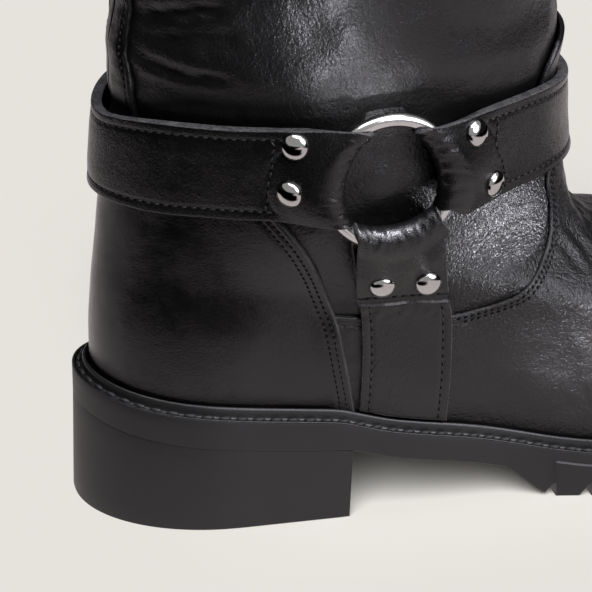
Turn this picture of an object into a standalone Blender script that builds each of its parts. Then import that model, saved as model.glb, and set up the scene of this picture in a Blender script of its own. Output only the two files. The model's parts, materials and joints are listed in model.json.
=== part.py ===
"""Right harness boot: toe towards +X, lateral side towards -Y, standing on z = 0.

Tables and constants are in millimetres, x counted from the back of the heel; `placed` turns a point
into metres about the middle of the heel, where the origin lies on the floor.
"""
import math
from collections import namedtuple

import bmesh
import bpy
import numpy as np
from mathutils import Vector

MM = 0.001
ORIGIN_X = 36.0

# Foot: sole length about 281, heel 67 wide, ball 97 wide, heel 29 high at the breast
SOLE_EDGE = 7.0
SOLE_GAP = 0.35
HEEL_BREAST = 73.7
HEEL_CENTRE = 38.0
BREAST_LEAN = 1.1
HEEL_FLARE = 0.8
SEAT_THICKNESS = 9.0
WAIST_THICKNESS = 8.0

# Rim and welt
RIM_WIDTH = 0.8
RIM_DEPTH = 1.7
WELT_THICKNESS = 1.3
BEAD_WIDTH = 1.3
BEAD_HEIGHT = 3.3
BEAD_INNER = 2.1
BEAD_LEAN = 0.9

# Cleats along both edges of the forefoot
CLEAT_START = 121.0
CLEAT_PITCH = 10.2
CLEAT_FIRST_NOTCH = 134.4
CLEAT_COUNT = 12
NOTCH_DEPTH = 4.2
NOTCH_WIDTH = 4.0
NOTCH_REACH = 23.5
CHANNEL_WIDTH = 9.0
SIDE_STEP = 0.5
SIDE_STEP_START = 135.0
SIDE_STEP_DROP = 3.4

# Leather
WALL = 2.2
PANEL_GAP = 0.45
VAMP_THICKNESS = 1.1
COUNTER_THICKNESS = 1.4
STAY_THICKNESS = 1.3
PANEL_SEAM = 0.0025
STAY_HALF_WIDTH = 9.4
STAY_FOOT = 3.2
INSOLE_THICKNESS = 3.0

# Harness
RING_CENTRE = (81.6, -47.6, 108.8)
RING_RADIUS = 18.0
WIRE_RADIUS = 2.0
STRAP_WIDTH = 26.5
REAR_WIDTH = 23.5
FOLD_WIDTH = 24.0
STRAP_THICKNESS = 3.0
LOOP_THICKNESS = 1.9
LOOP_GAP = 0.35
FOLD_GAP = 0.7
FOLD_SLACK = 1.6
FOLD_STEPS = 5
FOLD_RUN = 13.0
STRAP_CELLS = 4
DOWN_STRAP_WIDTH = 24.0
STUD_RADIUS = 3.5
STUD_HEIGHT = 2.1
UNDER_BED = 1.5
OVER_BED = PANEL_GAP + COUNTER_THICKNESS + LOOP_GAP + STRAP_THICKNESS / 2

# Colours
BLACK = (0.02, 0.02, 0.02)
RUBBER = (0.03, 0.03, 0.03)

# Height of the sole's rim along the boot
RIM_LINE = [
    # x, z
    (-5.0, 41.5), (9.0, 38.2), (20.0, 36.5), (37.0, 34.5), (50.0, 32.8), (62.0, 31.3), (72.0, 29.9),
    (79.0, 27.8), (86.0, 25.7), (94.0, 24.0), (109.0, 21.2), (124.0, 17.5), (135.0, 15.0),
    (147.0, 13.4), (165.0, 12.6), (190.0, 12.4), (215.0, 13.2), (245.0, 16.8), (268.0, 21.2), (283.0, 24.6),
]
# Underside of the cleats along the boot
TREAD_LINE = [
    # x, z
    (CLEAT_START, 10.4), (132.0, 1.3), (136.0, 0.0), (205.0, 0.0), (230.0, 2.2), (255.0, 6.2), (283.0, 12.4),
]
# Middle of the foot, swinging to the medial side at the toe
CENTRE_LINE = [
    # x, y
    (40.0, 0.0), (75.0, -1.2), (105.0, -2.2), (141.0, -1.2), (180.0, 0.8), (230.0, 3.6), (280.0, 5.0),
]

# One row for each section of the upper: where its back and front lie, how far it has left the sole's
# curve, half widths at heel, waist and ball, and the share of its length taken by each rounded end.
Section = namedtuple(
    "Section", "back_x back_z front_x front_z settle heel waist ball back_round front_round")
SECTIONS = [
    Section(7.4, 38.8, 273.5, 22.5, 0.00, 27.0, 27.2, 41.7, 0.135, 0.32),
    Section(7.2, 47.0, 276.3, 31.0, 0.08, 28.6, 29.8, 43.8, 0.140, 0.32),
    Section(7.4, 54.5, 275.0, 39.5, 0.22, 29.6, 32.0, 44.0, 0.150, 0.33),
    Section(7.9, 61.5, 269.0, 47.0, 0.40, 30.0, 33.0, 43.0, 0.160, 0.34),
    Section(8.4, 68.0, 255.0, 52.5, 0.55, 30.0, 33.6, 41.5, 0.180, 0.37),
    Section(9.2, 74.5, 226.0, 56.8, 0.70, 29.9, 34.2, 40.0, 0.210, 0.42),
    Section(10.0, 81.0, 191.0, 61.5, 0.82, 30.2, 35.4, 38.6, 0.250, 0.48),
    Section(10.7, 87.5, 164.8, 68.5, 0.91, 30.9, 37.0, 38.0, 0.300, 0.52),
    Section(11.4, 94.0, 150.6, 78.0, 0.97, 31.8, 38.8, 38.6, 0.350, 0.52),
    Section(12.0, 101.0, 145.6, 90.0, 1.00, 33.0, 40.2, 39.6, 0.390, 0.51),
    Section(13.0, 111.0, 141.8, 106.0, 1.00, 34.6, 41.4, 40.8, 0.420, 0.50),
    Section(14.6, 126.0, 141.0, 125.0, 1.00, 37.6, 42.8, 42.4, 0.450, 0.50),
    Section(17.0, 146.0, 141.0, 147.0, 1.00, 41.6, 45.0, 44.8, 0.480, 0.50),
    Section(18.2, 186.0, 141.4, 188.0, 1.00, 46.8, 48.4, 48.4, 0.500, 0.50),
    Section(15.0, 238.0, 143.4, 240.0, 1.00, 51.0, 51.4, 51.4, 0.500, 0.50),
    Section(12.5, 298.0, 146.0, 299.0, 1.00, 53.0, 53.0, 53.0, 0.500, 0.50),
]
HEEL_SHARE = 0.15
WAIST_SHARE = 0.40
BALL_SHARE = 0.68
TOP_ROW = len(SECTIONS) - 1
TABLE = np.array(SECTIONS)

# Seen from the side: the vamp's edge from the counter up to the instep, where the strap covers it
VAMP_EDGE = [
    # x, z
    (60.0, 64.5), (85.0, 62.0), (102.0, 61.0), (113.0, 63.0), (121.2, 66.6), (129.0, 71.4), (134.2, 77.6),
    (135.6, 85.0), (134.4, 93.0), (136.0, 100.0),
]
VAMP_TOP = 104.0
# The tongue's edge above the strap, up to its tip
TONGUE_EDGE = [(130.8, 124.0), (132.6, 130.0), (136.0, 134.8)]
TONGUE_FOOT = 110.0
TONGUE_TIP = 137.5
# The counter's front edge from the welt up to the strap
COUNTER_EDGE = [
    # x, z
    (77.2, 30.0), (75.9, 37.0), (73.2, 50.0), (71.2, 60.0), (68.8, 67.0), (65.0, 77.0), (59.9, 87.0),
    (54.4, 95.0), (49.5, 101.0),
]

# Straps, seen from the side: middle lines, and the arc of the ring that each fold takes up in degrees
HEEL_STRAP_LINE = [(8.0, 107.9), (14.0, 109.4), (24.0, 110.4), (40.0, 111.0), (52.0, 111.6), (64.0, 111.6)]
INSTEP_STRAP_LINE = [(99.0, 111.8), (108.0, 112.0), (122.0, 112.2), (134.0, 111.6), (145.0, 110.4)]
DOWN_STRAP_LINE = [(28.0, 90.6), (63.0, 90.2), (75.0, 88.0), (91.0, 85.4)]
HEEL_FOLD = (125.0, 215.0)
INSTEP_FOLD = (337.0, 415.0)
DOWN_FOLD = (244.0, 316.0)
FLAP_END = 69.8
STRAP_FOOT = 5.2
REAR_LEAN = 0.15
# Rivets, seen from the side: x, z and the clearance of the head over the strap's bend
STUDS = {
    "heel_high": (57.6, 121.8, 1.0),
    "heel_low": (56.4, 107.8, 0.3),
    "instep_high": (103.9, 120.0, 1.0),
    "instep_low": (110.6, 103.6, 1.15),
    "down_back": (81.5, 75.7, 0.6),
    "down_front": (94.0, 76.1, 0.35),
}

# Stations of the upper: shares of a section's length, and rows of the table
SHARES = [
    0.0, 0.005, 0.02, 0.045, 0.08, 0.125, 0.17, 0.215, 0.255, 0.295, 0.34, 0.39, 0.445, 0.505, 0.57,
    0.635, 0.70, 0.76, 0.815, 0.865, 0.906, 0.945, 0.975, 0.993, 1.0,
]
ROWS = [0.0, 0.8, 1.6, 2.4, 3.2, 4.0, 4.8, 5.6, 6.4, 7.2, 8.0, 8.8, 9.6, 10.4, 11.2, 12.2, 13.4, 15.0]
LOW_ROW = 0.1


def placed(point):
    return Vector(((point[0] - ORIGIN_X) * MM, point[1] * MM, point[2] * MM))


def through(line, x):
    """Smooth value at x of a line of (x, value) points."""
    xs = [p[0] for p in line]
    ys = [p[1] for p in line]
    if x <= xs[0]:
        return ys[0]
    if x >= xs[-1]:
        return ys[-1]
    i = int(np.searchsorted(xs, x)) - 1
    slopes = []
    for k in (i, i + 1):
        a = max(k - 1, 0)
        b = min(k + 1, len(xs) - 1)
        slopes.append((ys[b] - ys[a]) / (xs[b] - xs[a]))
    span = xs[i + 1] - xs[i]
    t = (x - xs[i]) / span
    return ((2 * t ** 3 - 3 * t ** 2 + 1) * ys[i] + (t ** 3 - 2 * t ** 2 + t) * span * slopes[0]
            + (3 * t ** 2 - 2 * t ** 3) * ys[i + 1] + (t ** 3 - t ** 2) * span * slopes[1])


def mix(a, b, t):
    return a + (b - a) * t


def ease(t):
    t = min(max(t, 0.0), 1.0)
    return t * t * (3 - 2 * t)


def rim_z(x):
    return through(RIM_LINE, x)


def section_at(row):
    """Section of the upper at a fractional row of the table."""
    i = min(int(row), TOP_ROW - 1)
    t = row - i
    low, high = TABLE[i], TABLE[i + 1]
    rise = (high - TABLE[max(i - 1, 0)]) / (2 if i > 0 else 1)
    fall = (TABLE[min(i + 2, TOP_ROW)] - low) / (2 if i < TOP_ROW - 1 else 1)
    return Section(*((2 * t ** 3 - 3 * t ** 2 + 1) * low + (t ** 3 - 2 * t ** 2 + t) * rise
                     + (3 * t ** 2 - 2 * t ** 3) * high + (t ** 3 - t ** 2) * fall))


def half_width(section, share):
    if share < WAIST_SHARE:
        width = mix(section.heel, section.waist, ease((share - HEEL_SHARE) / (WAIST_SHARE - HEEL_SHARE)))
    else:
        width = mix(section.waist, section.ball, ease((share - WAIST_SHARE) / (BALL_SHARE - WAIST_SHARE)))
    back = max(0.0, 1 - share / section.back_round)
    front = max(0.0, 1 - (1 - share) / section.front_round)
    return width * math.sqrt(max(0.0, 1 - back ** 2)) * max(0.0, 1 - front ** 2.1) ** (1 / 2.1)


def section_point(section, share, side):
    """Point of a section; side is -1 for lateral and 1 for medial."""
    x = mix(section.back_x, section.front_x, share)
    bow = rim_z(x) - mix(rim_z(section.back_x), rim_z(section.front_x), share)
    z = mix(section.back_z, section.front_z, share) + (1 - section.settle) * bow
    y = (1 - section.settle) * through(CENTRE_LINE, x) + side * half_width(section, share)
    return np.array((x, y, z))


def form(row, turn):
    """Outer face of the upper: turn runs 0 at the back, 1 at the front, negative on the lateral side."""
    share = (1 - math.cos(math.pi * abs(turn))) / 2
    return section_point(section_at(row), share, -1 if turn < 0 else 1)


def share_to_turn(share):
    return math.acos(1 - 2 * min(max(share, 0.0), 1.0)) / math.pi


def form_normal(row, turn):
    low, high = max(row - 0.05, 0.0), min(row + 0.05, TOP_ROW)
    along = form(high, turn) - form(low, turn)
    around = wrapped(row, turn + 0.01) - wrapped(row, turn - 0.01)
    normal = np.cross(along, around)
    return normal / np.linalg.norm(normal)


def wrapped(row, turn):
    if turn > 1:
        turn -= 2
    if turn < -1:
        turn += 2
    return form(row, turn)


def lifted(row, turn, offset):
    return form(row, turn) + form_normal(row, turn) * offset


def row_at_height(turn, z):
    """Row at which the upper reaches the height z along one turn."""
    low, high = 0.0, float(TOP_ROW)
    for _ in range(24):
        middle = (low + high) / 2
        if form(middle, turn)[2] < z:
            low = middle
        else:
            high = middle
    return (low + high) / 2


def locate(x, z):
    """Row and turn (without its side) of the point seen at x, z from the side."""
    low, high = 0.0, float(TOP_ROW)
    for _ in range(24):
        middle = (low + high) / 2
        section = section_at(middle)
        share = (x - section.back_x) / (section.front_x - section.back_x)
        if section_point(section, min(max(share, 0.0), 1.0), -1)[2] < z:
            low = middle
        else:
            high = middle
    section = section_at((low + high) / 2)
    return (low + high) / 2, share_to_turn((x - section.back_x) / (section.front_x - section.back_x))


def side_spot(x, z, side, offset):
    row, turn = locate(x, z)
    return lifted(row, side * turn, offset)


def collection(name):
    made = bpy.data.collections.new(name)
    bpy.context.scene.collection.children.link(made)
    return made


def material(name, colour, roughness, metallic=0.0):
    made = bpy.data.materials.new(name)
    made.use_nodes = True
    shader = made.node_tree.nodes["Principled BSDF"]
    shader.inputs["Base Color"].default_value = (*colour, 1.0)
    shader.inputs["Roughness"].default_value = roughness
    shader.inputs["Metallic"].default_value = metallic
    return made


def new_object(name, mesh, group, colour, roughness=0.6, metallic=0.0):
    made = bpy.data.objects.new(name, mesh)
    made.data.materials.append(material(name, colour, roughness, metallic))
    group.objects.link(made)
    return made


def loft(name, rings, group, colour, caps=True):
    """Solid through closed rings of stations; caps run across from station to opposite station."""
    count = len(rings[0])
    mesh = bpy.data.meshes.new(name)
    shape = bmesh.new()
    rows = [[shape.verts.new(placed(p)) for p in ring] for ring in rings]
    pairs = list(zip(rows, rows[1:])) if caps else list(zip(rows, rows[1:] + rows[:1]))
    for upper, lower in pairs:
        for k in range(count):
            nxt = (k + 1) % count
            shape.faces.new((upper[k], upper[nxt], lower[nxt], lower[k]))
    if caps:
        for row in (rows[0], rows[-1]):
            for k in range(count // 2):
                a, b = row[k], row[k + 1]
                c, d = row[(count - k - 1) % count], row[(count - k) % count]
                corners = list(dict.fromkeys((a, b, c, d)))
                if len(corners) > 2:
                    shape.faces.new(corners)
    bmesh.ops.recalc_face_normals(shape, faces=shape.faces)
    shape.to_mesh(mesh)
    shape.free()
    return new_object(name, mesh, group, colour)


def sheet(name, along, across, place, thickness, group, colour, offset=0.0, weights=None):
    """Sheet of along x across cells put in place by a function, thickened; a closed one is welded."""
    mesh = bpy.data.meshes.new(name)
    shape = bmesh.new()
    bmesh.ops.create_grid(shape, x_segments=along, y_segments=across, size=1.0)
    spots = [((v.co.x + 1) / 2, (v.co.y + 1) / 2) for v in shape.verts]
    for vert, (u, w) in zip(shape.verts, spots):
        vert.co = placed(place(u, w))
    bmesh.ops.remove_doubles(shape, verts=shape.verts, dist=0.00004)
    shape.to_mesh(mesh)
    shape.free()
    made = new_object(name, mesh, group, colour)
    solid = made.modifiers.new("thickness", "SOLIDIFY")
    solid.thickness = thickness * MM
    solid.offset = offset
    solid.use_quality_normals = True
    if weights:
        marks = made.vertex_groups.new(name="thickness")
        for k, (u, w) in enumerate(spots):
            marks.add([k], weights(u, w), "REPLACE")
        solid.vertex_group = "thickness"
    return made


def outline(offset, level, section=SECTIONS[0]):
    """Stations round the feather line pushed out by offset; level gives z from x and the rim height."""
    stations = [(s, -1) for s in SHARES] + [(s, 1) for s in reversed(SHARES[1:-1])]
    base = [section_point(section, share, side) for share, side in stations]
    ring = []
    for k, point in enumerate(base):
        before, after = base[k - 1], base[(k + 1) % len(base)]
        tangent = (after - before)[:2]
        normal = np.array((tangent[1], -tangent[0])) / np.linalg.norm(tangent)
        push = offset(point[0]) if callable(offset) else offset
        x, y = point[:2] + normal * push
        ring.append(np.array((x, y, level(x))))
    return ring


def tread_z(x):
    base = rim_z(x) - mix(SEAT_THICKNESS, WAIST_THICKNESS, ease((x - 60) / 20))
    if x < CLEAT_START:
        return base
    return min(base, max(through(TREAD_LINE, x), 0.0))


def side_push(x):
    return SOLE_EDGE + SIDE_STEP * ease((x - SIDE_STEP_START) / 3)


def build_outsole(group, cutters):
    rings = [
        outline(SOLE_EDGE - RIM_WIDTH, lambda x: rim_z(x) - RIM_DEPTH),
        outline(SOLE_EDGE - RIM_WIDTH, lambda x: rim_z(x) - 0.3),
        outline(SOLE_EDGE - 0.3, rim_z),
        outline(SOLE_EDGE, lambda x: rim_z(x) - 0.5),
        outline(SOLE_EDGE, lambda x: rim_z(x) - SIDE_STEP_DROP),
        outline(side_push, lambda x: rim_z(x) - SIDE_STEP_DROP - 0.5),
        outline(side_push, tread_z),
    ]
    sole = loft("outsole", rings, group, RUBBER)
    mesh = bpy.data.meshes.new("tread_cutter")
    shape = bmesh.new()
    for k in range(CLEAT_COUNT):
        x = CLEAT_FIRST_NOTCH + k * CLEAT_PITCH
        for side in (-1, 1):
            add_notch(shape, x, side)
    add_channel(shape)
    bmesh.ops.recalc_face_normals(shape, faces=shape.faces)
    shape.to_mesh(mesh)
    shape.free()
    cutter = bpy.data.objects.new("tread_cutter", mesh)
    cutters.objects.link(cutter)
    cutter.hide_render = True
    cutter.display_type = "WIRE"
    cut = sole.modifiers.new("tread", "BOOLEAN")
    cut.operation = "DIFFERENCE"
    cut.solver = "EXACT"
    cut.object = cutter
    return sole


def prism(shape, profile, start, end):
    """Closed prism of an x, z profile between two y positions given for each profile point."""
    rows = [[shape.verts.new(placed((x, y, z))) for (x, z), y in zip(profile, ys)] for ys in (start, end)]
    count = len(profile)
    shape.faces.new(rows[0])
    shape.faces.new(list(reversed(rows[1])))
    for k in range(count):
        nxt = (k + 1) % count
        shape.faces.new((rows[0][nxt], rows[0][k], rows[1][k], rows[1][nxt]))


def edge_y(x, side):
    section = SECTIONS[0]
    share = (x - section.back_x) / (section.front_x - section.back_x)
    return section_point(section, min(max(share, 0.0), 1.0), side)[1] + side * SOLE_EDGE


def add_notch(shape, x, side):
    """Wedge between two cleats, reaching in from the edge towards the middle channel."""
    low = tread_z(x) - 6.0
    top = tread_z(x) + NOTCH_DEPTH
    back, front = x - NOTCH_WIDTH * 0.65, x + NOTCH_WIDTH * 0.35
    profile = [(back, low), (front, low), (front, top), (front - 0.7, top), (back, tread_z(x) - 0.3)]
    outer = side * 70.0
    inner = edge_y(x, side) - side * min(NOTCH_REACH, abs(edge_y(x, side)) - CHANNEL_WIDTH / 2 - 3.0)
    prism(shape, profile, [outer] * 5, [inner] * 5)


def add_channel(shape):
    """Shallow channel along the middle of the forefoot."""
    half = CHANNEL_WIDTH / 2
    stations = [150.0, 165.0, 180.0, 195.0, 205.0, 218.0, 230.0, 243.0]
    rows = []
    for x in stations:
        y = through(CENTRE_LINE, x)
        low, top = tread_z(x) - 6.0, tread_z(x) + NOTCH_DEPTH - 0.7
        corners = [(y - half, low), (y + half, low), (y + half - 1, top), (y - half + 1, top)]
        rows.append([shape.verts.new(placed((x, *corner))) for corner in corners])
    shape.faces.new(rows[0])
    shape.faces.new(list(reversed(rows[-1])))
    for a, b in zip(rows, rows[1:]):
        for k in range(4):
            nxt = (k + 1) % 4
            shape.faces.new((a[nxt], a[k], b[k], b[nxt]))


def build_heel(group):
    """Block with the sole's outline, flaring to the floor, its breast leaning forward at the top."""
    edge = [p for p in outline(SOLE_EDGE, rim_z) if p[0] < HEEL_BREAST - 3]
    first = next(k for k, p in enumerate(edge) if p[1] > 0)

    def ring(push, breast, level):
        """Round from the breast's medial corner over the back to its lateral corner."""
        points = [(breast, edge_y(breast, 1) + push, level(breast))]
        for p in edge[first:] + edge[:first]:
            out = np.array((min(p[0] - HEEL_CENTRE, 0.0), p[1]))
            x, y = p[:2] + out / np.linalg.norm(out) * push
            points.append((x, y, level(x)))
        return points + [(breast, edge_y(breast, -1) - push, level(breast))]

    seat = ring(0.0, HEEL_BREAST + BREAST_LEAN, lambda x: tread_z(x) - SOLE_GAP)
    base = ring(HEEL_FLARE, HEEL_BREAST, lambda x: 0.0)
    mesh = bpy.data.meshes.new("heel")
    shape = bmesh.new()
    rows = [[shape.verts.new(placed(p)) for p in points] for points in (seat, base)]
    for k in range(len(seat)):
        nxt = (k + 1) % len(seat)
        shape.faces.new((rows[0][k], rows[0][nxt], rows[1][nxt], rows[1][k]))
    for row in rows:
        bmesh.ops.triangulate(shape, faces=[shape.faces.new(row)])
    bmesh.ops.recalc_face_normals(shape, faces=shape.faces)
    shape.to_mesh(mesh)
    shape.free()
    return new_object("heel", mesh, group, RUBBER)


def build_welt(group):
    """Ledge on the sole with a raised bead against the upper, swept round the whole boot."""
    ledge = SOLE_EDGE - RIM_WIDTH - SOLE_GAP
    bead = BEAD_INNER + BEAD_LEAN + BEAD_WIDTH

    def level(above):
        return lambda x: rim_z(x) - RIM_DEPTH + SOLE_GAP + above

    rings = [
        outline(BEAD_INNER, level(0.0)),
        outline(BEAD_INNER + BEAD_LEAN, level(WELT_THICKNESS + BEAD_HEIGHT - 0.5)),
        outline(BEAD_INNER + BEAD_LEAN + BEAD_WIDTH / 2, level(WELT_THICKNESS + BEAD_HEIGHT)),
        outline(bead, level(WELT_THICKNESS + BEAD_HEIGHT - 0.7)),
        outline(bead, level(WELT_THICKNESS)),
        outline(ledge, level(WELT_THICKNESS)),
        outline(ledge, level(0.0)),
    ]
    return loft("welt", rings, group, BLACK, caps=False)


def build_insole(group):
    inset = -(WALL + 0.8)

    def level(above):
        return lambda x: rim_z(x) - RIM_DEPTH + SOLE_GAP + above

    rings = [outline(inset, level(INSOLE_THICKNESS)), outline(inset, level(0.0))]
    return loft("insole", rings, group, (0.25, 0.2, 0.15))


def wrap_share(index):
    """Share and side of a station counted round from the back over the lateral side."""
    last = len(SHARES) - 1
    index %= 2 * last
    return (SHARES[index], -1) if index <= last else (SHARES[2 * last - index], 1)


def build_upper(group):
    around, rows = 2 * (len(SHARES) - 1), len(ROWS) - 1

    def place(u, w):
        share, side = wrap_share(int(round(u * around)))
        row = ROWS[int(round(w * rows))]
        point = section_point(section_at(row), share, side)
        if row == 0.0:
            point[2] = rim_z(point[0]) - RIM_DEPTH + SOLE_GAP + 0.4
        return point

    return sheet("upper", around, rows, place, WALL, group, BLACK, offset=-1.0)


def panel(name, stations, rows, bound, thickness, group):
    """Overlay on the upper's own stations; bound brings a row and share back to the overlay's edges."""
    def place(u, w):
        share, side = wrap_share(stations[int(round(u * (len(stations) - 1)))])
        row, share = bound(rows[int(round(w * (len(rows) - 1)))], share)
        return lifted(row, side * share_to_turn(share), PANEL_GAP + thickness / 2)

    return sheet(name, len(stations) - 1, len(rows) - 1, place, thickness, group, BLACK)


def edge_shares(edge):
    """Rows and shares of an edge drawn from the side."""
    spots = []
    for x, z in edge:
        row, turn = locate(x, z)
        spots.append((row, (1 - math.cos(math.pi * turn)) / 2))
    return spots


def counter_share(row):
    rows, shares = zip(*COUNTER_SPOTS)
    return float(np.interp(row, rows, shares))


def edge_row(spots, share):
    rows, shares = zip(*spots)
    return float(np.interp(share, np.maximum.accumulate(shares), rows))


COUNTER_SPOTS = edge_shares(COUNTER_EDGE)
VAMP_SPOTS = edge_shares(VAMP_EDGE) + [(row_at_height(1.0, VAMP_TOP), 1.0)]
TONGUE_SPOTS = edge_shares(TONGUE_EDGE) + [(row_at_height(1.0, TONGUE_TIP), 1.0)]


def build_vamp(group):
    """From the counter's edge round the toe, up to the quarter's edge and over the instep."""
    last = len(SHARES) - 1
    first = next(k for k, share in enumerate(SHARES) if share > counter_share(9.0)) - 1
    top = VAMP_SPOTS[-1][0]
    rows = [LOW_ROW] + [row for row in ROWS if 0.2 < row < top - 0.1] + [top]

    def bound(row, share):
        row = min(row, edge_row(VAMP_SPOTS, share))
        share = max(share, counter_share(row) + PANEL_SEAM)
        return min(row, edge_row(VAMP_SPOTS, share)), share

    return panel("vamp", list(range(first, 2 * last - first + 1)), rows, bound, VAMP_THICKNESS, group)


def build_tongue(group):
    """Rounded tab up the front of the shaft, its foot under the instep strap."""
    last = len(SHARES) - 1
    least = TONGUE_SPOTS[0][1]
    first = next(k for k, share in enumerate(SHARES) if share >= least) - 1
    low, top = row_at_height(1.0, TONGUE_FOOT), TONGUE_SPOTS[-1][0]
    rows = [low] + [row for row in ROWS if low + 0.1 < row < top - 0.1] + [mix(11.2, top, 0.5), top]

    def bound(row, share):
        share = max(share, least)
        return min(row, edge_row(TONGUE_SPOTS, share)), share

    return panel("tongue", list(range(first, 2 * last - first + 1)), rows, bound, VAMP_THICKNESS, group)


def build_counter(group):
    """Round the heel, between its two front edges, up to where the strap covers it."""
    last = next(k for k, share in enumerate(SHARES) if share > counter_share(0.0))
    top = COUNTER_SPOTS[-1][0]
    rows = [LOW_ROW] + [row for row in ROWS if 0.2 < row < top - 0.1] + [top]

    def bound(row, share):
        return row, min(share, counter_share(row))

    return panel("counter", list(range(-last, last + 1)), rows, bound, COUNTER_THICKNESS, group)


def build_stay(group):
    """Strip up the back of the shaft, wider at its foot."""
    low = row_at_height(0.0, 112.0)
    rows = [low] + [row for row in ROWS if row > low + 0.1]

    def bound(row, share):
        section = section_at(row)
        width = STAY_HALF_WIDTH + STAY_FOOT * ease((142.0 - section.back_z) / 14)
        reach = section.back_round * (1 - math.sqrt(1 - (width / section.heel) ** 2))
        return row, min(share, reach)

    return panel("back_stay", list(range(-3, 4)), rows, bound, STAY_THICKNESS, group)


def ring_centre(side):
    return np.array((RING_CENTRE[0], -side * RING_CENTRE[1], RING_CENTRE[2]))


def ring_spot(side, angle):
    """Middle of the ring's wire at an angle, 0 towards the toe and 90 up."""
    turn = math.radians(angle)
    return ring_centre(side) + RING_RADIUS * np.array((math.cos(turn), 0.0, math.sin(turn)))


def fold(side, arc, share):
    """Middle line of leather bent round the wire, from under it to over it, at a share of the width."""
    at = mix(arc[0], arc[1], share)
    middle = ring_spot(side, at)
    out = np.array((0.0, float(side), 0.0))
    lean = math.radians(mix((arc[0] + arc[1]) / 2, at, 0.6))
    away = np.array((math.cos(lean), 0.0, math.sin(lean)))
    radius = WIRE_RADIUS + FOLD_GAP + LOOP_THICKNESS / 2
    deep = radius + FOLD_SLACK * (1 - (2 * share - 1) ** 2)
    points = []
    for k in range(FOLD_STEPS + 1):
        swing = -math.pi / 2 + math.pi * k / FOLD_STEPS
        points.append(middle - away * math.cos(swing) * deep + out * math.sin(swing) * radius)
    return points


def over_offset(distance, crest, bed):
    """Height of the outer layer's middle over the upper, falling away from the wire to the strap's bed."""
    return mix(crest, bed, ease((distance - 1.2) / (FOLD_RUN - 1.2)))


def strap_end(side, arc, share, line, sign):
    """Path of a folded end: turned-back layer, bend round the wire, outer layer running off the ring."""
    round_share = share if sign > 0 else 1 - share
    wire = ring_spot(side, mix(arc[0], arc[1], round_share))

    def spot(distance, offset, width):
        x = wire[0] + sign * distance
        return side_spot(x, through(line, x) + (share - 0.5) * width, side, offset)

    crest = abs(wire[1]) - abs(spot(0.0, 0.0, FOLD_WIDTH)[1]) + WIRE_RADIUS + LOOP_THICKNESS
    under = [spot(d, UNDER_BED, FOLD_WIDTH - 3.0) for d in (9.5, 6.5, 3.5)]
    over = []
    for d in (4.0, 7.0, 10.0, 13.0):
        width = mix(FOLD_WIDTH, STRAP_WIDTH, ease(d / FOLD_RUN))
        over.append(spot(d, over_offset(d, crest, OVER_BED), width))
    return under + fold(side, arc, round_share) + over


def band(name, ends, middle, group):
    """Strap with a fold at each end, thinner there than along its run."""
    rows = []
    for j in range(STRAP_CELLS + 1):
        share = j / STRAP_CELLS
        lateral, medial, run = ends(-1, share), ends(1, share), middle(share)
        rows.append(lateral + run + medial[::-1])
    count = len(rows[0])
    thin = LOOP_THICKNESS / STRAP_THICKNESS
    weights = [thin] * (len(lateral) - 1) + [1.0] * (len(run) + 2) + [thin] * (len(medial) - 1)

    def place(u, w):
        return rows[int(round(w * STRAP_CELLS))][int(round(u * (count - 1)))]

    def thickness(u, w):
        return weights[int(round(u * (count - 1)))]

    return sheet(name, count - 1, STRAP_CELLS, place, STRAP_THICKNESS, group, BLACK, weights=thickness)


def build_heel_strap(group):
    def ends(side, share):
        return strap_end(side, HEEL_FOLD, share, HEEL_STRAP_LINE, -1)

    def rear_spot(turn, share):
        middle = through(HEEL_STRAP_LINE, lifted(row_at_height(turn, 108.0), turn, OVER_BED)[0])
        width = mix(REAR_WIDTH, STRAP_WIDTH, ease(abs(turn) / 0.22))
        low = middle - width / 2
        z = low + share * width
        near = lifted(row_at_height(turn, z), turn, OVER_BED)
        base = lifted(row_at_height(turn, low), turn, OVER_BED)
        upright = np.array((base[0], base[1], z))
        return mix(near, upright, REAR_LEAN * math.cos(turn * math.pi) ** 2 * share)

    def middle(share):
        return [rear_spot(mix(-0.31, 0.31, k / 14), share) for k in range(15)]

    return band("heel_strap", ends, middle, group)


def build_instep_strap(group):
    off = PANEL_GAP + VAMP_THICKNESS + LOOP_GAP + STRAP_THICKNESS / 2

    def ends(side, share):
        return strap_end(side, INSTEP_FOLD, share, INSTEP_STRAP_LINE, 1)

    def front_spot(turn, share):
        turn = turn + 2 if turn < -1 else turn
        middle = through(INSTEP_STRAP_LINE, form(row_at_height(turn, 112.0), turn)[0])
        width = mix(STRAP_WIDTH, REAR_WIDTH + 1.0, ease((abs(turn) - 0.75) / 0.2))
        return lifted(row_at_height(turn, middle + (share - 0.5) * width), turn, off)

    def middle(share):
        return [front_spot(mix(-0.745, -1.255, k / 12), share) for k in range(13)]

    return band("instep_strap", ends, middle, group)


def down_bed(z):
    """Height of the down strap's bed over the upper, stepping over the vamp's edge."""
    return mix(0.2, PANEL_GAP + VAMP_THICKNESS, ease((74.0 - z) / 8.0)) + LOOP_GAP


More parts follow.
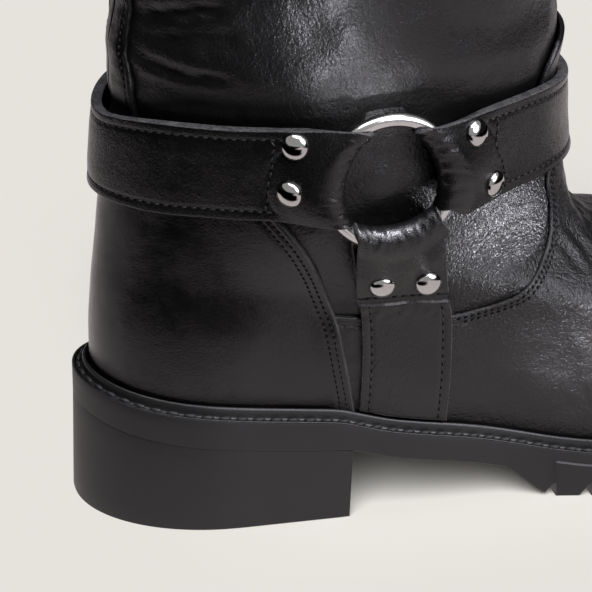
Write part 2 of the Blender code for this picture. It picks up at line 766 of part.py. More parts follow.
def build_down_strap(side, group):
    """Strap from the welt up under the wire, over it and down again to its riveted end."""
    rows = []
    for j in range(STRAP_CELLS + 1):
        share = j / STRAP_CELLS
        across = (share - 0.5) * DOWN_STRAP_WIDTH
        wire = ring_spot(side, mix(DOWN_FOLD[0], DOWN_FOLD[1], share))

        def spot(z, offset):
            return side_spot(through(DOWN_STRAP_LINE, z) + across, z, side, offset)

        crest = abs(wire[1]) - abs(spot(wire[2], 0.0)[1]) + WIRE_RADIUS + LOOP_THICKNESS
        foot = rim_z(through(DOWN_STRAP_LINE, 30.0) + across) + STRAP_FOOT
        climb = [foot, 40.0, 50.0, 60.0, 67.0, 74.0, wire[2] - 10.0, wire[2] - 4.0]
        drop = [wire[2] - 4.5, wire[2] - 8.0, wire[2] - 12.0, 75.0, FLAP_END]
        up = [spot(z, down_bed(z) + LOOP_THICKNESS / 2) for z in climb]
        down = []
        for z in drop:
            lie = down_bed(z) + LOOP_GAP + LOOP_THICKNESS * 1.5
            down.append(spot(z, over_offset(wire[2] - z, crest, lie)))
        rows.append(up + fold(side, DOWN_FOLD, share) + down)

    def place(u, w):
        return rows[int(round(w * STRAP_CELLS))][int(round(u * (len(rows[0]) - 1)))]

    name = "down_strap_lateral" if side < 0 else "down_strap_medial"
    return sheet(name, len(rows[0]) - 1, STRAP_CELLS, place, LOOP_THICKNESS, group, BLACK)


def build_ring(side, group):
    name = "ring_lateral" if side < 0 else "ring_medial"
    bpy.ops.mesh.primitive_torus_add(major_segments=24, minor_segments=6, major_radius=RING_RADIUS * MM,
                                     minor_radius=WIRE_RADIUS * MM, location=placed(ring_centre(side)),
                                     rotation=(math.pi / 2, 0, 0))
    made = bpy.context.object
    made.name = name
    made.data.name = name
    for owner in list(made.users_collection):
        owner.objects.unlink(made)
    group.objects.link(made)
    made.data.materials.append(material(name, (0.6, 0.6, 0.6), 0.15, 1.0))
    return made


def build_stud(name, spot, normal, group):
    """Domed rivet head on a strap."""
    mesh = bpy.data.meshes.new(name)
    shape = bmesh.new()
    steps = 3
    profile = []
    for k in range(steps + 1):
        angle = math.pi / 2 * k / steps
        profile.append((STUD_RADIUS * math.sin(angle), 0.5 + (STUD_HEIGHT - 0.5) * math.cos(angle)))
    profile += [(STUD_RADIUS, 0.0), (0.0, 0.0)]
    verts = [shape.verts.new((x * MM, 0, z * MM)) for x, z in profile]
    for a, b in zip(verts, verts[1:]):
        shape.edges.new((a, b))
    shape.to_mesh(mesh)
    shape.free()
    made = new_object(name, mesh, group, (0.6, 0.6, 0.6), 0.2, 1.0)
    turned = made.modifiers.new("turned", "SCREW")
    turned.steps = 8
    turned.render_steps = 8
    turned.use_merge_vertices = True
    turned.merge_threshold = 0.00001
    made.location = placed(spot)
    made.rotation_euler = Vector(normal).to_track_quat("Z", "Y").to_euler()
    return made


def strap_face(word, x, z, side):
    """Point of a strap's outer face near its fold, seen from the side at x, z."""
    if word.startswith("down"):
        wire = ring_spot(side, mix(DOWN_FOLD[0], DOWN_FOLD[1], 0.5))
        distance = wire[2] - z
        beside = side_spot(x, wire[2], side, 0.0)
        bed, half = down_bed(z) + LOOP_GAP + LOOP_THICKNESS * 1.5, LOOP_THICKNESS / 2
    else:
        rear = word.startswith("heel")
        arc, line = (HEEL_FOLD[::-1], HEEL_STRAP_LINE) if rear else (INSTEP_FOLD, INSTEP_STRAP_LINE)
        wire = ring_spot(side, mix(arc[0], arc[1], (z - through(line, x)) / STRAP_WIDTH + 0.5))
        distance = abs(x - wire[0])
        beside = side_spot(wire[0], z, side, 0.0)
        bed, half = OVER_BED, mix(LOOP_THICKNESS, STRAP_THICKNESS, ease((distance - 8.0) / 5.0)) / 2
    crest = abs(wire[1]) - abs(beside[1]) + WIRE_RADIUS + LOOP_THICKNESS
    return side_spot(x, z, side, over_offset(distance, crest, bed) + half)


def build_studs(group):
    """Two rivets through each folded strap end, on both sides of the boot."""
    for side, label in ((-1, "lateral"), (1, "medial")):
        for word, (x, z, seat) in STUDS.items():
            along = strap_face(word, x + 2, z, side) - strap_face(word, x - 2, z, side)
            upward = strap_face(word, x, z + 2, side) - strap_face(word, x, z - 2, side)
            normal = np.cross(along, upward) * -side
            normal /= np.linalg.norm(normal)
            spot = strap_face(word, x, z, side) + normal * seat
            build_stud("stud_%s_%s" % (word, label), spot, normal, group)


def main():
    for old in list(bpy.data.objects):
        bpy.data.objects.remove(old, do_unlink=True)
    boot = collection("harness_boot")
    cutters = collection("cutters")
    build_outsole(boot, cutters)
    build_heel(boot)
    build_welt(boot)
    build_insole(boot)
    build_upper(boot)
    build_vamp(boot)
    build_tongue(boot)
    build_counter(boot)
    build_stay(boot)
    build_heel_strap(boot)
    build_instep_strap(boot)
    for side in (-1, 1):
        build_down_strap(side, boot)
        build_ring(side, boot)
    build_studs(boot)


main()
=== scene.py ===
import json
import math

import bmesh
import bpy
import numpy as np
from mathutils import Matrix, Vector

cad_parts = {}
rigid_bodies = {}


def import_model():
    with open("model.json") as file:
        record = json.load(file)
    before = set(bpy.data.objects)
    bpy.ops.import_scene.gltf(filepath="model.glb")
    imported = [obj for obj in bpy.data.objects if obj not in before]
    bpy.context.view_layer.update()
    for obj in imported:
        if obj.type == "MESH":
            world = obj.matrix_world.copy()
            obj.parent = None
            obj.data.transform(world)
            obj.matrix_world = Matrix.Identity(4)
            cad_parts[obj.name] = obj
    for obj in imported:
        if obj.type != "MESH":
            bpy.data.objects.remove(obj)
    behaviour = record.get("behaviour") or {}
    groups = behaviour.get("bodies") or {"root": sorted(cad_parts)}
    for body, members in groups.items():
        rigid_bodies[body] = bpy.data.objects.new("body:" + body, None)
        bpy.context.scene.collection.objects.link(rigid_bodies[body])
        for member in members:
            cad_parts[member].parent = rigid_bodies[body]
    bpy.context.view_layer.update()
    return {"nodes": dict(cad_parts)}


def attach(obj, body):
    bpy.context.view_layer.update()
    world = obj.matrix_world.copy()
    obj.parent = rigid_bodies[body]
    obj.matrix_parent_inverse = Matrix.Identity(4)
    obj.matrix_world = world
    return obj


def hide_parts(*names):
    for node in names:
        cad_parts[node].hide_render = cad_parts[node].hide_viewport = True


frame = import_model()
print("frame:", len(frame["nodes"]), "solids")
mm = 0.001  # sizes are in millimetres, the scene is in metres


# the boot's own form, x counted from the back of the heel
bootForm = {
    "originX": 36.0,
    "rimLine": [(-5.0, 41.5), (9.0, 38.2), (20.0, 36.5), (37.0, 34.5), (50.0, 32.8), (62.0, 31.3), (72.0, 29.9),
                (79.0, 27.8), (86.0, 25.7), (94.0, 24.0), (109.0, 21.2), (124.0, 17.5), (135.0, 15.0),
                (147.0, 13.4), (165.0, 12.6), (190.0, 12.4), (215.0, 13.2), (245.0, 16.8), (268.0, 21.2),
                (283.0, 24.6)],
    "centreLine": [(40.0, 0.0), (75.0, -1.2), (105.0, -2.2), (141.0, -1.2), (180.0, 0.8), (230.0, 3.6),
                   (280.0, 5.0)],
    # back x, back z, front x, front z, settle, heel, waist and ball half widths, rounding at back and front
    "sections": [
        (7.4, 38.8, 273.5, 22.5, 0.00, 27.0, 27.2, 41.7, 0.135, 0.32),
        (7.2, 47.0, 276.3, 31.0, 0.08, 28.6, 29.8, 43.8, 0.140, 0.32),
        (7.4, 54.5, 275.0, 39.5, 0.22, 29.6, 32.0, 44.0, 0.150, 0.33),
        (7.9, 61.5, 269.0, 47.0, 0.40, 30.0, 33.0, 43.0, 0.160, 0.34),
        (8.4, 68.0, 255.0, 52.5, 0.55, 30.0, 33.6, 41.5, 0.180, 0.37),
        (9.2, 74.5, 226.0, 56.8, 0.70, 29.9, 34.2, 40.0, 0.210, 0.42),
        (10.0, 81.0, 191.0, 61.5, 0.82, 30.2, 35.4, 38.6, 0.250, 0.48),
        (10.7, 87.5, 164.8, 68.5, 0.91, 30.9, 37.0, 38.0, 0.300, 0.52),
        (11.4, 94.0, 150.6, 78.0, 0.97, 31.8, 38.8, 38.6, 0.350, 0.52),
        (12.0, 101.0, 145.6, 90.0, 1.00, 33.0, 40.2, 39.6, 0.390, 0.51),
        (13.0, 111.0, 141.8, 106.0, 1.00, 34.6, 41.4, 40.8, 0.420, 0.50),
        (14.6, 126.0, 141.0, 125.0, 1.00, 37.6, 42.8, 42.4, 0.450, 0.50),
        (17.0, 146.0, 141.0, 147.0, 1.00, 41.6, 45.0, 44.8, 0.480, 0.50),
        (18.2, 186.0, 141.4, 188.0, 1.00, 46.8, 48.4, 48.4, 0.500, 0.50),
        (15.0, 238.0, 143.4, 240.0, 1.00, 51.0, 51.4, 51.4, 0.500, 0.50),
        (12.5, 298.0, 146.0, 299.0, 1.00, 53.0, 53.0, 53.0, 0.500, 0.50),
    ],
    "stops": (0.15, 0.40, 0.68),  # shares of the length where heel, waist and ball are measured
    "toePower": 2.1,  # 2 is an ellipse, more is squarer
}
sectionTable = np.array(bootForm["sections"])
topRow = len(sectionTable) - 1


def mix(a, b, t):
    return a + (b - a) * t


def ease(t):
    t = np.clip(t, 0.0, 1.0)
    return t * t * (3 - 2 * t)


def hermite(t, a, b, leave, arrive):
    return ((2 * t ** 3 - 3 * t ** 2 + 1) * a + (t ** 3 - 2 * t ** 2 + t) * leave
            + (3 * t ** 2 - 2 * t ** 3) * b + (t ** 3 - t ** 2) * arrive)


def alongLine(line, x):
    xs, ys = np.array(line, float).T
    k = np.arange(len(xs))
    before, after = np.maximum(k - 1, 0), np.minimum(k + 1, len(xs) - 1)
    slopes = (ys[after] - ys[before]) / (xs[after] - xs[before])
    x = np.clip(x, xs[0], xs[-1])
    i = np.clip(np.searchsorted(xs, x) - 1, 0, len(xs) - 2)
    span = xs[i + 1] - xs[i]
    return hermite((x - xs[i]) / span, ys[i], ys[i + 1], span * slopes[i], span * slopes[i + 1])


def rimZ(x):
    return alongLine(bootForm["rimLine"], x)


def sectionAt(row):
    i = np.clip(np.asarray(row, float).astype(int), 0, topRow - 1)
    t = (row - i)[..., None]
    low, high = sectionTable[i], sectionTable[i + 1]
    rise = (high - sectionTable[np.maximum(i - 1, 0)]) / np.where(i > 0, 2, 1)[..., None]
    fall = (sectionTable[np.minimum(i + 2, topRow)] - low) / np.where(i < topRow - 1, 2, 1)[..., None]
    return hermite(t, low, high, rise, fall)


def formPoint(row, turn):
    # turn is 0 at the back and 1 at the front, negative on the lateral side
    row, turn = np.broadcast_arrays(np.asarray(row, float), np.asarray(turn, float))
    turn = (turn + 1) % 2 - 1
    share = (1 - np.cos(np.pi * turn)) / 2
    columns = np.moveaxis(sectionAt(row), -1, 0)
    backX, backZ, frontX, frontZ, settle, heel, waist, ball, backRound, frontRound = columns
    first, second, third = bootForm["stops"]
    width = np.where(share < second, mix(heel, waist, ease((share - first) / (second - first))),
                     mix(waist, ball, ease((share - second) / (third - second))))
    back = np.maximum(0, 1 - share / backRound)
    front = np.maximum(0, 1 - (1 - share) / frontRound)
    toe = bootForm["toePower"]
    width = width * np.sqrt(np.maximum(0, 1 - back ** 2)) * np.maximum(0, 1 - front ** toe) ** (1 / toe)
    x = mix(backX, frontX, share)
    bow = rimZ(x) - mix(rimZ(backX), rimZ(frontX), share)
    y = (1 - settle) * alongLine(bootForm["centreLine"], x) + np.where(turn < 0, -1, 1) * width
    return np.stack((x, y, mix(backZ, frontZ, share) + (1 - settle) * bow), -1)


def unit(v):
    return v / np.maximum(np.linalg.norm(v, axis=-1, keepdims=True), 1e-9)


def formNormal(row, turn):
    row, turn = np.broadcast_arrays(np.asarray(row, float), np.asarray(turn, float))
    along = formPoint(np.minimum(row + 0.05, topRow), turn) - formPoint(np.maximum(row - 0.05, 0), turn)
    around = formPoint(row, turn + 0.01) - formPoint(row, turn - 0.01)
    return unit(np.cross(along, around))


def onBoot(row, turn, lift):
    return formPoint(row, turn) + formNormal(row, turn) * np.asarray(lift)[..., None]


def rowReaching(z, turnAt):
    # the row at which the form comes up to z, found by halving
    low, high = np.zeros(z.shape), np.full(z.shape, float(topRow))
    for _ in range(24):
        middle = (low + high) / 2
        under = formPoint(middle, turnAt(middle))[..., 2] < z
        low, high = np.where(under, middle, low), np.where(under, high, middle)
    return (low + high) / 2


def rowAtHeight(turn, z):
    turn, z = np.broadcast_arrays(np.asarray(turn, float), np.asarray(z, float))
    return rowReaching(z, lambda row: turn)


def shareToTurn(share):
    return np.arccos(1 - 2 * np.clip(share, 0, 1)) / np.pi


def locate(x, z):
    # row and turn, without its side, of what is seen at x, z from the side
    x, z = np.broadcast_arrays(np.asarray(x, float), np.asarray(z, float))

    def turnAt(row):
        cut = sectionAt(row)
        return shareToTurn((x - cut[..., 0]) / (cut[..., 2] - cut[..., 0]))

    row = rowReaching(z, lambda row: -turnAt(row))
    return row, turnAt(row)


def sideSpot(x, z, side, lift):
    row, turn = locate(x, z)
    return onBoot(row, side * turn, np.broadcast_to(lift, row.shape))


def toMetres(points):
    return (np.asarray(points) - (bootForm["originX"], 0, 0)) * mm


def pathThrough(points, step):
    # rows of points smoothed along the strap, evenly spaced
    hops = np.linalg.norm(np.diff(points, axis=0), axis=-1).mean(1)
    at = np.concatenate(([0], np.cumsum(hops)))
    slopes = np.gradient(points, at, axis=0)
    where = np.linspace(0, at[-1], int(at[-1] / step) + 1)
    i = np.clip(np.searchsorted(at, where) - 1, 0, len(at) - 2)
    span = (at[i + 1] - at[i])[:, None, None]
    t = (where - at[i])[:, None, None] / span
    return hermite(t, points[i], points[i + 1], slopes[i] * span, slopes[i + 1] * span), at, where


def lengthAlong(points):
    return np.concatenate(([0], np.cumsum(np.linalg.norm(np.diff(points, axis=0), axis=1))))


def evenly(points, count):
    at = lengthAlong(points)
    where = np.linspace(0, at[-1], count)
    return np.stack([np.interp(where, at, points[:, k]) for k in range(points.shape[1])], 1)


def distanceTo(points, line):
    # distance of each point to a polyline
    best = np.full(len(points), 1e9)
    for a, b in zip(line, line[1:]):
        t = np.clip((points - a) @ (b - a) / max((b - a) @ (b - a), 1e-12), 0, 1)
        best = np.minimum(best, np.linalg.norm(points - a - t[:, None] * (b - a), axis=1))
    return best


def softNoise(points, size, seed):
    chance = np.random.default_rng(seed)
    total = np.zeros(points.shape[:-1])
    for _ in range(12):
        wave = unit(chance.normal(size=3)) * 2 * np.pi / size * chance.uniform(0.7, 1.5)
        total += np.sin(points @ wave + chance.uniform(0, 2 * np.pi))
    return total / math.sqrt(6)


# creases in the leather, seen from the side: both ends, bow, half width and depth
creases = {
    "lateral": [
        (16.0, 149.0, 43.0, 158.0, 1.5, 1.7, 1.2), (17.0, 145.6, 47.0, 152.4, -1.0, 1.4, 0.9),
        (16.0, 141.4, 44.0, 137.2, -1.0, 1.6, 1.1), (18.0, 138.2, 35.0, 135.2, 0.5, 1.3, 0.8),
        (27.0, 150.0, 49.0, 143.4, 1.2, 1.6, 0.8), (34.0, 160.0, 62.0, 166.0, 1.0, 2.4, 0.5),
        (101.0, 87.4, 122.0, 93.4, 1.0, 1.2, 0.1), (101.0, 81.6, 133.0, 86.6, 1.5, 1.3, 0.13),
        (101.0, 69.0, 129.0, 78.4, -1.0, 1.3, 0.12), (104.0, 76.0, 126.0, 82.0, 0.6, 1.0, 0.08),
        (133.0, 79.0, 144.5, 64.6, 1.2, 1.3, 0.4), (136.0, 82.0, 149.0, 66.0, 1.2, 1.4, 0.4),
        (128.0, 70.0, 137.0, 58.0, 1.0, 1.2, 0.3), (140.0, 95.0, 150.0, 73.0, 1.5, 2.0, 0.8),
        (144.0, 84.0, 160.0, 66.0, 1.5, 2.2, 0.6), (150.0, 74.0, 168.0, 58.0, 1.5, 2.4, 0.5),
    ],
    "medial": [
        (17.0, 150.0, 40.0, 156.0, 1.2, 1.6, 0.8), (18.0, 143.0, 46.0, 146.5, -1.0, 1.4, 0.6),
        (18.0, 138.0, 38.0, 136.0, 0.8, 1.3, 0.6), (32.0, 158.0, 58.0, 163.0, 1.0, 2.2, 0.5),
        (102.0, 86.0, 124.0, 92.0, 1.0, 1.3, 0.14), (102.0, 78.0, 130.0, 84.0, 1.2, 1.3, 0.14),
        (134.0, 80.0, 146.0, 64.0, 1.2, 1.4, 0.4), (140.0, 94.0, 150.0, 74.0, 1.5, 2.0, 0.8),
        (146.0, 82.0, 164.0, 62.0, 1.5, 2.3, 0.6), (128.0, 66.0, 138.0, 54.0, 1.0, 1.3, 0.3),
    ],
    "bulges": [  # broad soft swellings, both sides
        (60.0, 151.0, 100.0, 148.0, 0.0, 9.0, -1.3), (20.0, 172.0, 60.0, 182.0, 3.0, 10.0, -1.0),
        (70.0, 205.0, 130.0, 196.0, 3.0, 12.0, -1.2), (18.0, 230.0, 70.0, 222.0, 3.0, 14.0, -0.9),
        (100.0, 152.0, 138.0, 166.0, 2.0, 9.0, -1.0), (66.0, 104.0, 108.0, 107.6, 0.0, 8.5, -1.4),
    ],
    "taper": 0.3,  # share of a crease over which each end fades
    # the tuck round the ankle under a swelling, both ending before the front, the tuck also beside the ring
    "tuckZ": 119.5, "tuckDepth": 2.2, "tuckHalf": 5.0, "swellZ": 139.0, "swell": 1.5, "swellHalf": 7.0,
    "frontX": 150.0, "frontFade": 20.0, "ringX": 82.0, "ringHalf": 19.0,
    "ripples": ((0.16, 16.0, 3), (0.05, 6.0, 4)),  # height, size and seed of what is uneven all over
}


def nearby(value, middle, half):
    return np.exp(-((value - middle) / half) ** 2)


def creaseLift(points, lines):
    x, z = points[..., 0], points[..., 2]
    taper = creases["taper"]
    lift = np.zeros(x.shape)
    for ax, az, bx, bz, bow, width, depth in lines:
        dx, dz = bx - ax, bz - az
        span = math.hypot(dx, dz)
        t = ((x - ax) * dx + (z - az) * dz) / span ** 2
        across = ((z - az) * dx - (x - ax) * dz) / span - 4 * bow * np.clip(t, 0, 1) * (1 - np.clip(t, 0, 1))
        s = across / width
        lift -= depth * (1 - s ** 2) * np.exp(-s ** 2 / 2) * ease(t / taper) * ease((1 - t) / taper)
    return lift


def leatherLift(points):
    c, x, y, z = creases, points[..., 0], points[..., 1], points[..., 2]
    lift = np.where(y < 0, creaseLift(points, c["lateral"]), creaseLift(points, c["medial"]))
    lift += creaseLift(points, c["bulges"])
    away = ease((c["frontX"] - x) / c["frontFade"])
    beside = 1 - np.exp(-((x - c["ringX"]) / c["ringHalf"]) ** 4)
    lift -= c["tuckDepth"] * nearby(z, c["tuckZ"], c["tuckHalf"]) * away * beside
    lift += c["swell"] * nearby(z, c["swellZ"], c["swellHalf"]) * away
    for height, size, seed in c["ripples"]:
        lift += height * softNoise(points, size, seed)
    return lift


# shading: operators on a wire add Math nodes
class Wire:
    def __init__(self, tree, socket=None):
        self.tree, self.socket = tree, socket

    def node(self, kind, settings=None, values=None, output=0):
        made = self.tree.nodes.new(kind)
        for key, value in (settings or {}).items():
            if key == "stops":
                ramp = made.color_ramp
                while len(ramp.elements) < len(value):
                    ramp.elements.new(0.5)
                for element, (at, colour) in zip(ramp.elements, value):
                    element.position, element.color = at, (*colour, 1.0)
            else:
                setattr(made, key, value)
        for key, value in (values or {}).items():
            if isinstance(value, Wire):
                self.tree.links.new(value.socket, made.inputs[key])
            else:
                made.inputs[key].default_value = value
        return Wire(self.tree, made.outputs[output] if len(made.outputs) else None)

    def maths(self, operation, *values):
        return self.node("ShaderNodeMath", {"operation": operation}, dict(enumerate(values)))

    def __add__(self, other):
        return self.maths("ADD", self, other)

    def __sub__(self, other):
        return self.maths("SUBTRACT", self, other)

    def __rsub__(self, other):
        return self.maths("SUBTRACT", other, self)

    def __mul__(self, other):
        return self.maths("MULTIPLY", self, other)

    __radd__, __rmul__ = __add__, __mul__

    def axis(self, index):
        return self.node("ShaderNodeSeparateXYZ", None, {0: self}, index)

    def between(self, low, high):
        return self.node("ShaderNodeMapRange", {"interpolation_type": "SMOOTHSTEP"},
                         {"Value": self, "From Min": low, "From Max": high})

    def ranged(self, low, high):
        return self * (high - low) + low

    def blend(self, first, second):
        return self.node("ShaderNodeMix", {"data_type": "RGBA"}, {0: self, 6: (*first, 1.0), 7: (*second, 1.0)}, 2)


def startMaterial(name):
    made = bpy.data.materials.new(name)
    made.use_nodes = True
    tree = made.node_tree
    tree.nodes.clear()
    return made, Wire(tree), Wire(tree).node("ShaderNodeTexCoord", output=3)


def finishMaterial(wire, values):
    wire.node("ShaderNodeOutputMaterial", None, {"Surface": wire.node("ShaderNodeBsdfPrincipled", None, values)})


def noise(wire, place, scale, detail=3.0, rough=0.55, distortion=0.0):
    return wire.node("ShaderNodeTexNoise", None, {"Vector": place, "Scale": scale, "Detail": detail,
                                                  "Roughness": rough, "Distortion": distortion})


def cells(wire, place, scale):
    return wire.node("ShaderNodeTexVoronoi", {"feature": "DISTANCE_TO_EDGE"}, {"Vector": place, "Scale": scale})


# what the leathers share: scales of the noises, how far each layer shows, and how it changes the roughness
grainStyle = {
    "warp": 420.0, "wear": 38.0, "wearRange": (0.35, 0.68), "pebbleRim": (0.0, 0.4), "pebbleShare": 0.65,
    "smallScale": 2.3, "smallRim": (0.0, 0.25), "smallShare": 0.35, "poreScale": 3.5, "poreShare": 0.2,
    "wrinkleStrength": 0.5, "grainRough": 0.05, "warpRough": 0.04, "gloss": 0.5,
}


def leatherMaterial(name, look):
    made, wire, place = startMaterial(name)
    style, scale = grainStyle, look["pebble"]
    warp = noise(wire, place, style["warp"], 2.0)
    sway = wire.node("ShaderNodeTexNoise", None, {"Vector": place, "Scale": style["warp"]}, 1)
    bent = wire.node("ShaderNodeVectorMath", {"operation": "MULTIPLY_ADD"},
                     {0: sway, 1: (look["bend"],) * 3, 2: place})
    pebble = cells(wire, bent, scale).between(*style["pebbleRim"])
    small = cells(wire, bent, scale * style["smallScale"]).between(*style["smallRim"])
    worn = noise(wire, place, style["wear"], 4.0)
    grain = pebble * style["pebbleShare"] + small * style["smallShare"]
    pores = noise(wire, place, scale * style["poreScale"], 2.0)
    patch = worn.between(*style["wearRange"])
    height = grain * patch.ranged(look["calm"], 1.0)
    if "zone" in look:  # the quarter and upper vamp are tumbled, the rest is calmer
        ahead, foot, top = look["zone"]
        x, z = place.axis(0), place.axis(2)
        tumbled = x.between(*ahead) * z.between(*foot) * (1 - z.between(*top))
        height = height * tumbled.ranged(look["rest"], 1.0)
    bump = wire.node("ShaderNodeBump", None, {"Height": height + pores * style["poreShare"],
                                              "Strength": look["strength"], "Distance": look["depth"]})
    wrinkle = noise(wire, bent, look["wrinkle"], 4.0, 0.6, 0.6)
    broad = wire.node("ShaderNodeBump", None, {"Height": wrinkle, "Strength": style["wrinkleStrength"],
                                               "Distance": look["wrinkleDepth"], "Normal": bump})
    rough = (look["rough"] + (worn - 0.5) * look["roughSpread"] - grain * style["grainRough"]
             + warp * style["warpRough"])
    finishMaterial(wire, {"Base Color": patch.blend(look["colour"], look["light"]), "Roughness": rough,
                          "Normal": broad, "Specular IOR Level": look.get("gloss", style["gloss"])})
    return made


leatherLooks = {
    "grainedLeather": {"colour": (0.0042, 0.0040, 0.0041), "light": (0.0065, 0.0062, 0.0063), "pebble": 560.0,
                       "bend": 0.0010, "strength": 1.0, "depth": 0.00027, "calm": 0.6, "wrinkle": 150.0,
                       "wrinkleDepth": 0.0006, "rough": 0.38, "roughSpread": 0.12, "rest": 0.40,
                       "zone": ((0.045, 0.065), (0.046, 0.062), (0.098, 0.112))},
    "smoothLeather": {"colour": (0.0030, 0.0028, 0.0028), "light": (0.0048, 0.0045, 0.0045), "pebble": 1100.0,
                      "bend": 0.0006, "strength": 0.8, "depth": 0.00010, "calm": 0.3, "wrinkle": 120.0,
                      "wrinkleDepth": 0.0002, "rough": 0.23, "roughSpread": 0.07},
    "strapLeather": {"colour": (0.0034, 0.0032, 0.0033), "light": (0.0052, 0.0049, 0.0050), "pebble": 1000.0,
                     "bend": 0.0007, "strength": 0.8, "depth": 0.00011, "calm": 0.4, "wrinkle": 170.0,
                     "wrinkleDepth": 0.0004, "rough": 0.28, "roughSpread": 0.10},
    "weltLeather": {"colour": (0.0100, 0.0098, 0.0098), "light": (0.0160, 0.0155, 0.0152), "pebble": 900.0,
                    "bend": 0.0006, "strength": 0.35, "depth": 0.00008, "calm": 0.5, "wrinkle": 200.0,
                    "wrinkleDepth": 0.0002, "rough": 0.40, "roughSpread": 0.12},
    "liningLeather": {"colour": (0.17, 0.125, 0.085), "light": (0.22, 0.165, 0.115), "pebble": 1300.0,
                      "bend": 0.0006, "strength": 0.3, "depth": 0.00006, "calm": 0.5, "wrinkle": 110.0,
                      "wrinkleDepth": 0.0003, "rough": 0.62, "roughSpread": 0.1, "gloss": 0.4},
}


# how fuzz, moulded skin and metal mix their two noises
plainStyle = {"fineShare": 0.6, "wideShare": 0.4, "range": (0.32, 0.68), "wideBump": 0.6, "gloss": 0.5}


def plainMaterial(name, look):
    made, wire, place = startMaterial(name)
    style = plainStyle
    fine, wide = noise(wire, place, look["fine"], 4.0), noise(wire, place, look["wide"], 3.0)
    share = (fine * style["fineShare"] + wide * style["wideShare"]).between(*style["range"])
    bump = wire.node("ShaderNodeBump", None, {"Height": fine + wide * style["wideBump"],
                                              "Strength": look["strength"], "Distance": look["depth"]})
    finishMaterial(wire, {"Base Color": share.blend(look["colour"], look["light"]), "Normal": bump,
                          "Roughness": look["rough"] + (wide - 0.5) * look["roughSpread"],
                          "Metallic": look.get("metal", 0.0),
                          "Specular IOR Level": look.get("gloss", style["gloss"])})
    return made


plainLooks = {
    "rawEdge": {"colour": (0.008, 0.008, 0.008), "light": (0.085, 0.083, 0.082), "fine": 1100.0, "wide": 260.0,
                "strength": 0.9, "depth": 0.0003, "rough": 0.75, "roughSpread": 0.2},
    # cut edges: lighter for their raw fibres, and lighter still as a painted highlight where an edge catches the light
    "cutEdgeHighlight": {"colour": (0.012, 0.0115, 0.011), "light": (0.065, 0.061, 0.058), "fine": 1500.0, "wide": 140.0,
                "strength": 0.6, "depth": 0.0002, "rough": 0.65, "roughSpread": 0.2},
    "soleRubber": {"colour": (0.0085, 0.0080, 0.0080), "light": (0.0120, 0.0115, 0.0115), "fine": 2200.0,
                   "wide": 45.0, "strength": 0.25, "depth": 0.00006, "rough": 0.50, "roughSpread": 0.12,
                   "gloss": 0.46},
    "thread": {"colour": (0.008, 0.008, 0.008), "light": (0.018, 0.018, 0.018), "fine": 2600.0, "wide": 900.0,
               "strength": 0.7, "depth": 0.0001, "rough": 0.6, "roughSpread": 0.1},
    # needle holes: a near-black, dull colour that is painted shade for the holes' recesses
    "needleHoleShade": {"colour": (0.002, 0.002, 0.002), "light": (0.003, 0.003, 0.003), "fine": 900.0, "wide": 300.0,
                   "strength": 0.2, "depth": 0.0001, "rough": 0.9, "roughSpread": 0.1, "gloss": 0.1},
    "ringChrome": {"colour": (0.52, 0.515, 0.51), "light": (0.60, 0.595, 0.585), "fine": 1800.0, "wide": 160.0,
                   "strength": 0.05, "depth": 0.00002, "rough": 0.14, "roughSpread": 0.10, "metal": 1.0},
    "rivetChrome": {"colour": (0.45, 0.44, 0.43), "light": (0.52, 0.51, 0.50), "fine": 1800.0, "wide": 300.0,
                    "strength": 0.04, "depth": 0.00002, "rough": 0.09, "roughSpread": 0.08, "metal": 1.0},
}
finishes = {name: leatherMaterial(name, look) for name, look in leatherLooks.items()}
finishes.update({name: plainMaterial(name, look) for name, look in plainLooks.items()})
print("materials:", len(finishes))


def gridShape(along, across, place, mark=None):
    # a grid bent into place; place and mark read arrays running 0 to 1 along and across
    shape = bmesh.new()
    bmesh.ops.create_grid(shape, x_segments=along, y_segments=across, size=1.0)
    flat = np.array([v.co for v in shape.verts])
    spots = toMetres(place((flat[:, 0] + 1) / 2, (flat[:, 1] + 1) / 2))
    if mark:
        centres = np.array([f.calc_center_median() for f in shape.faces])
        for face, index in zip(shape.faces, mark((centres[:, 0] + 1) / 2, (centres[:, 1] + 1) / 2)):
            face.material_index = int(index)
    for vert, spot in zip(shape.verts, spots):
        vert.co = spot
    bmesh.ops.remove_doubles(shape, verts=shape.verts, dist=0.00001)
    bmesh.ops.dissolve_degenerate(shape, edges=shape.edges, dist=0.000002)
    return shape


def finishPiece(name, shape, looks, nodes=(), sheet=0.0, sharp=None):
    if not sheet:  # a sheet is given its thickness inwards, so it already faces out
        bmesh.ops.recalc_face_normals(shape, faces=shape.faces)
    for face in shape.faces:
        face.smooth = True
    mesh = bpy.data.meshes.new(name)
    shape.to_mesh(mesh)
    shape.free()
    if sharp:
        mesh.set_sharp_from_angle(angle=math.radians(sharp))
    for look in looks:
        mesh.materials.append(finishes[look])
    piece = bpy.data.objects.new(name, mesh)
    bpy.context.scene.collection.objects.link(piece)
    if sheet:
        wall = piece.modifiers.new("thickness", "SOLIDIFY")
        wall.thickness, wall.offset = sheet * mm, -1.0
    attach(piece, "root")
    if nodes:
        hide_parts(*nodes)
    print(name, len(mesh.polygons), "faces")
    return piece


threads = {
    "panel": {"pitch": 1.95, "length": 1.25, "width": 0.55, "height": 0.22, "rise": 0.0, "hole": 0.42,
              "holeRise": 0.12},
    "strap": {"pitch": 2.7, "length": 1.9, "width": 0.7, "height": 0.26, "rise": 0.0, "hole": 0.45,
              "holeRise": 0.08},
    "welt": {"pitch": 5.0, "length": 4.3, "width": 1.5, "height": 0.75, "rise": 0.3},
    "holeSlant": 18.0, "holeStretch": (1.45, 0.85, 1.0, 1.0),
}


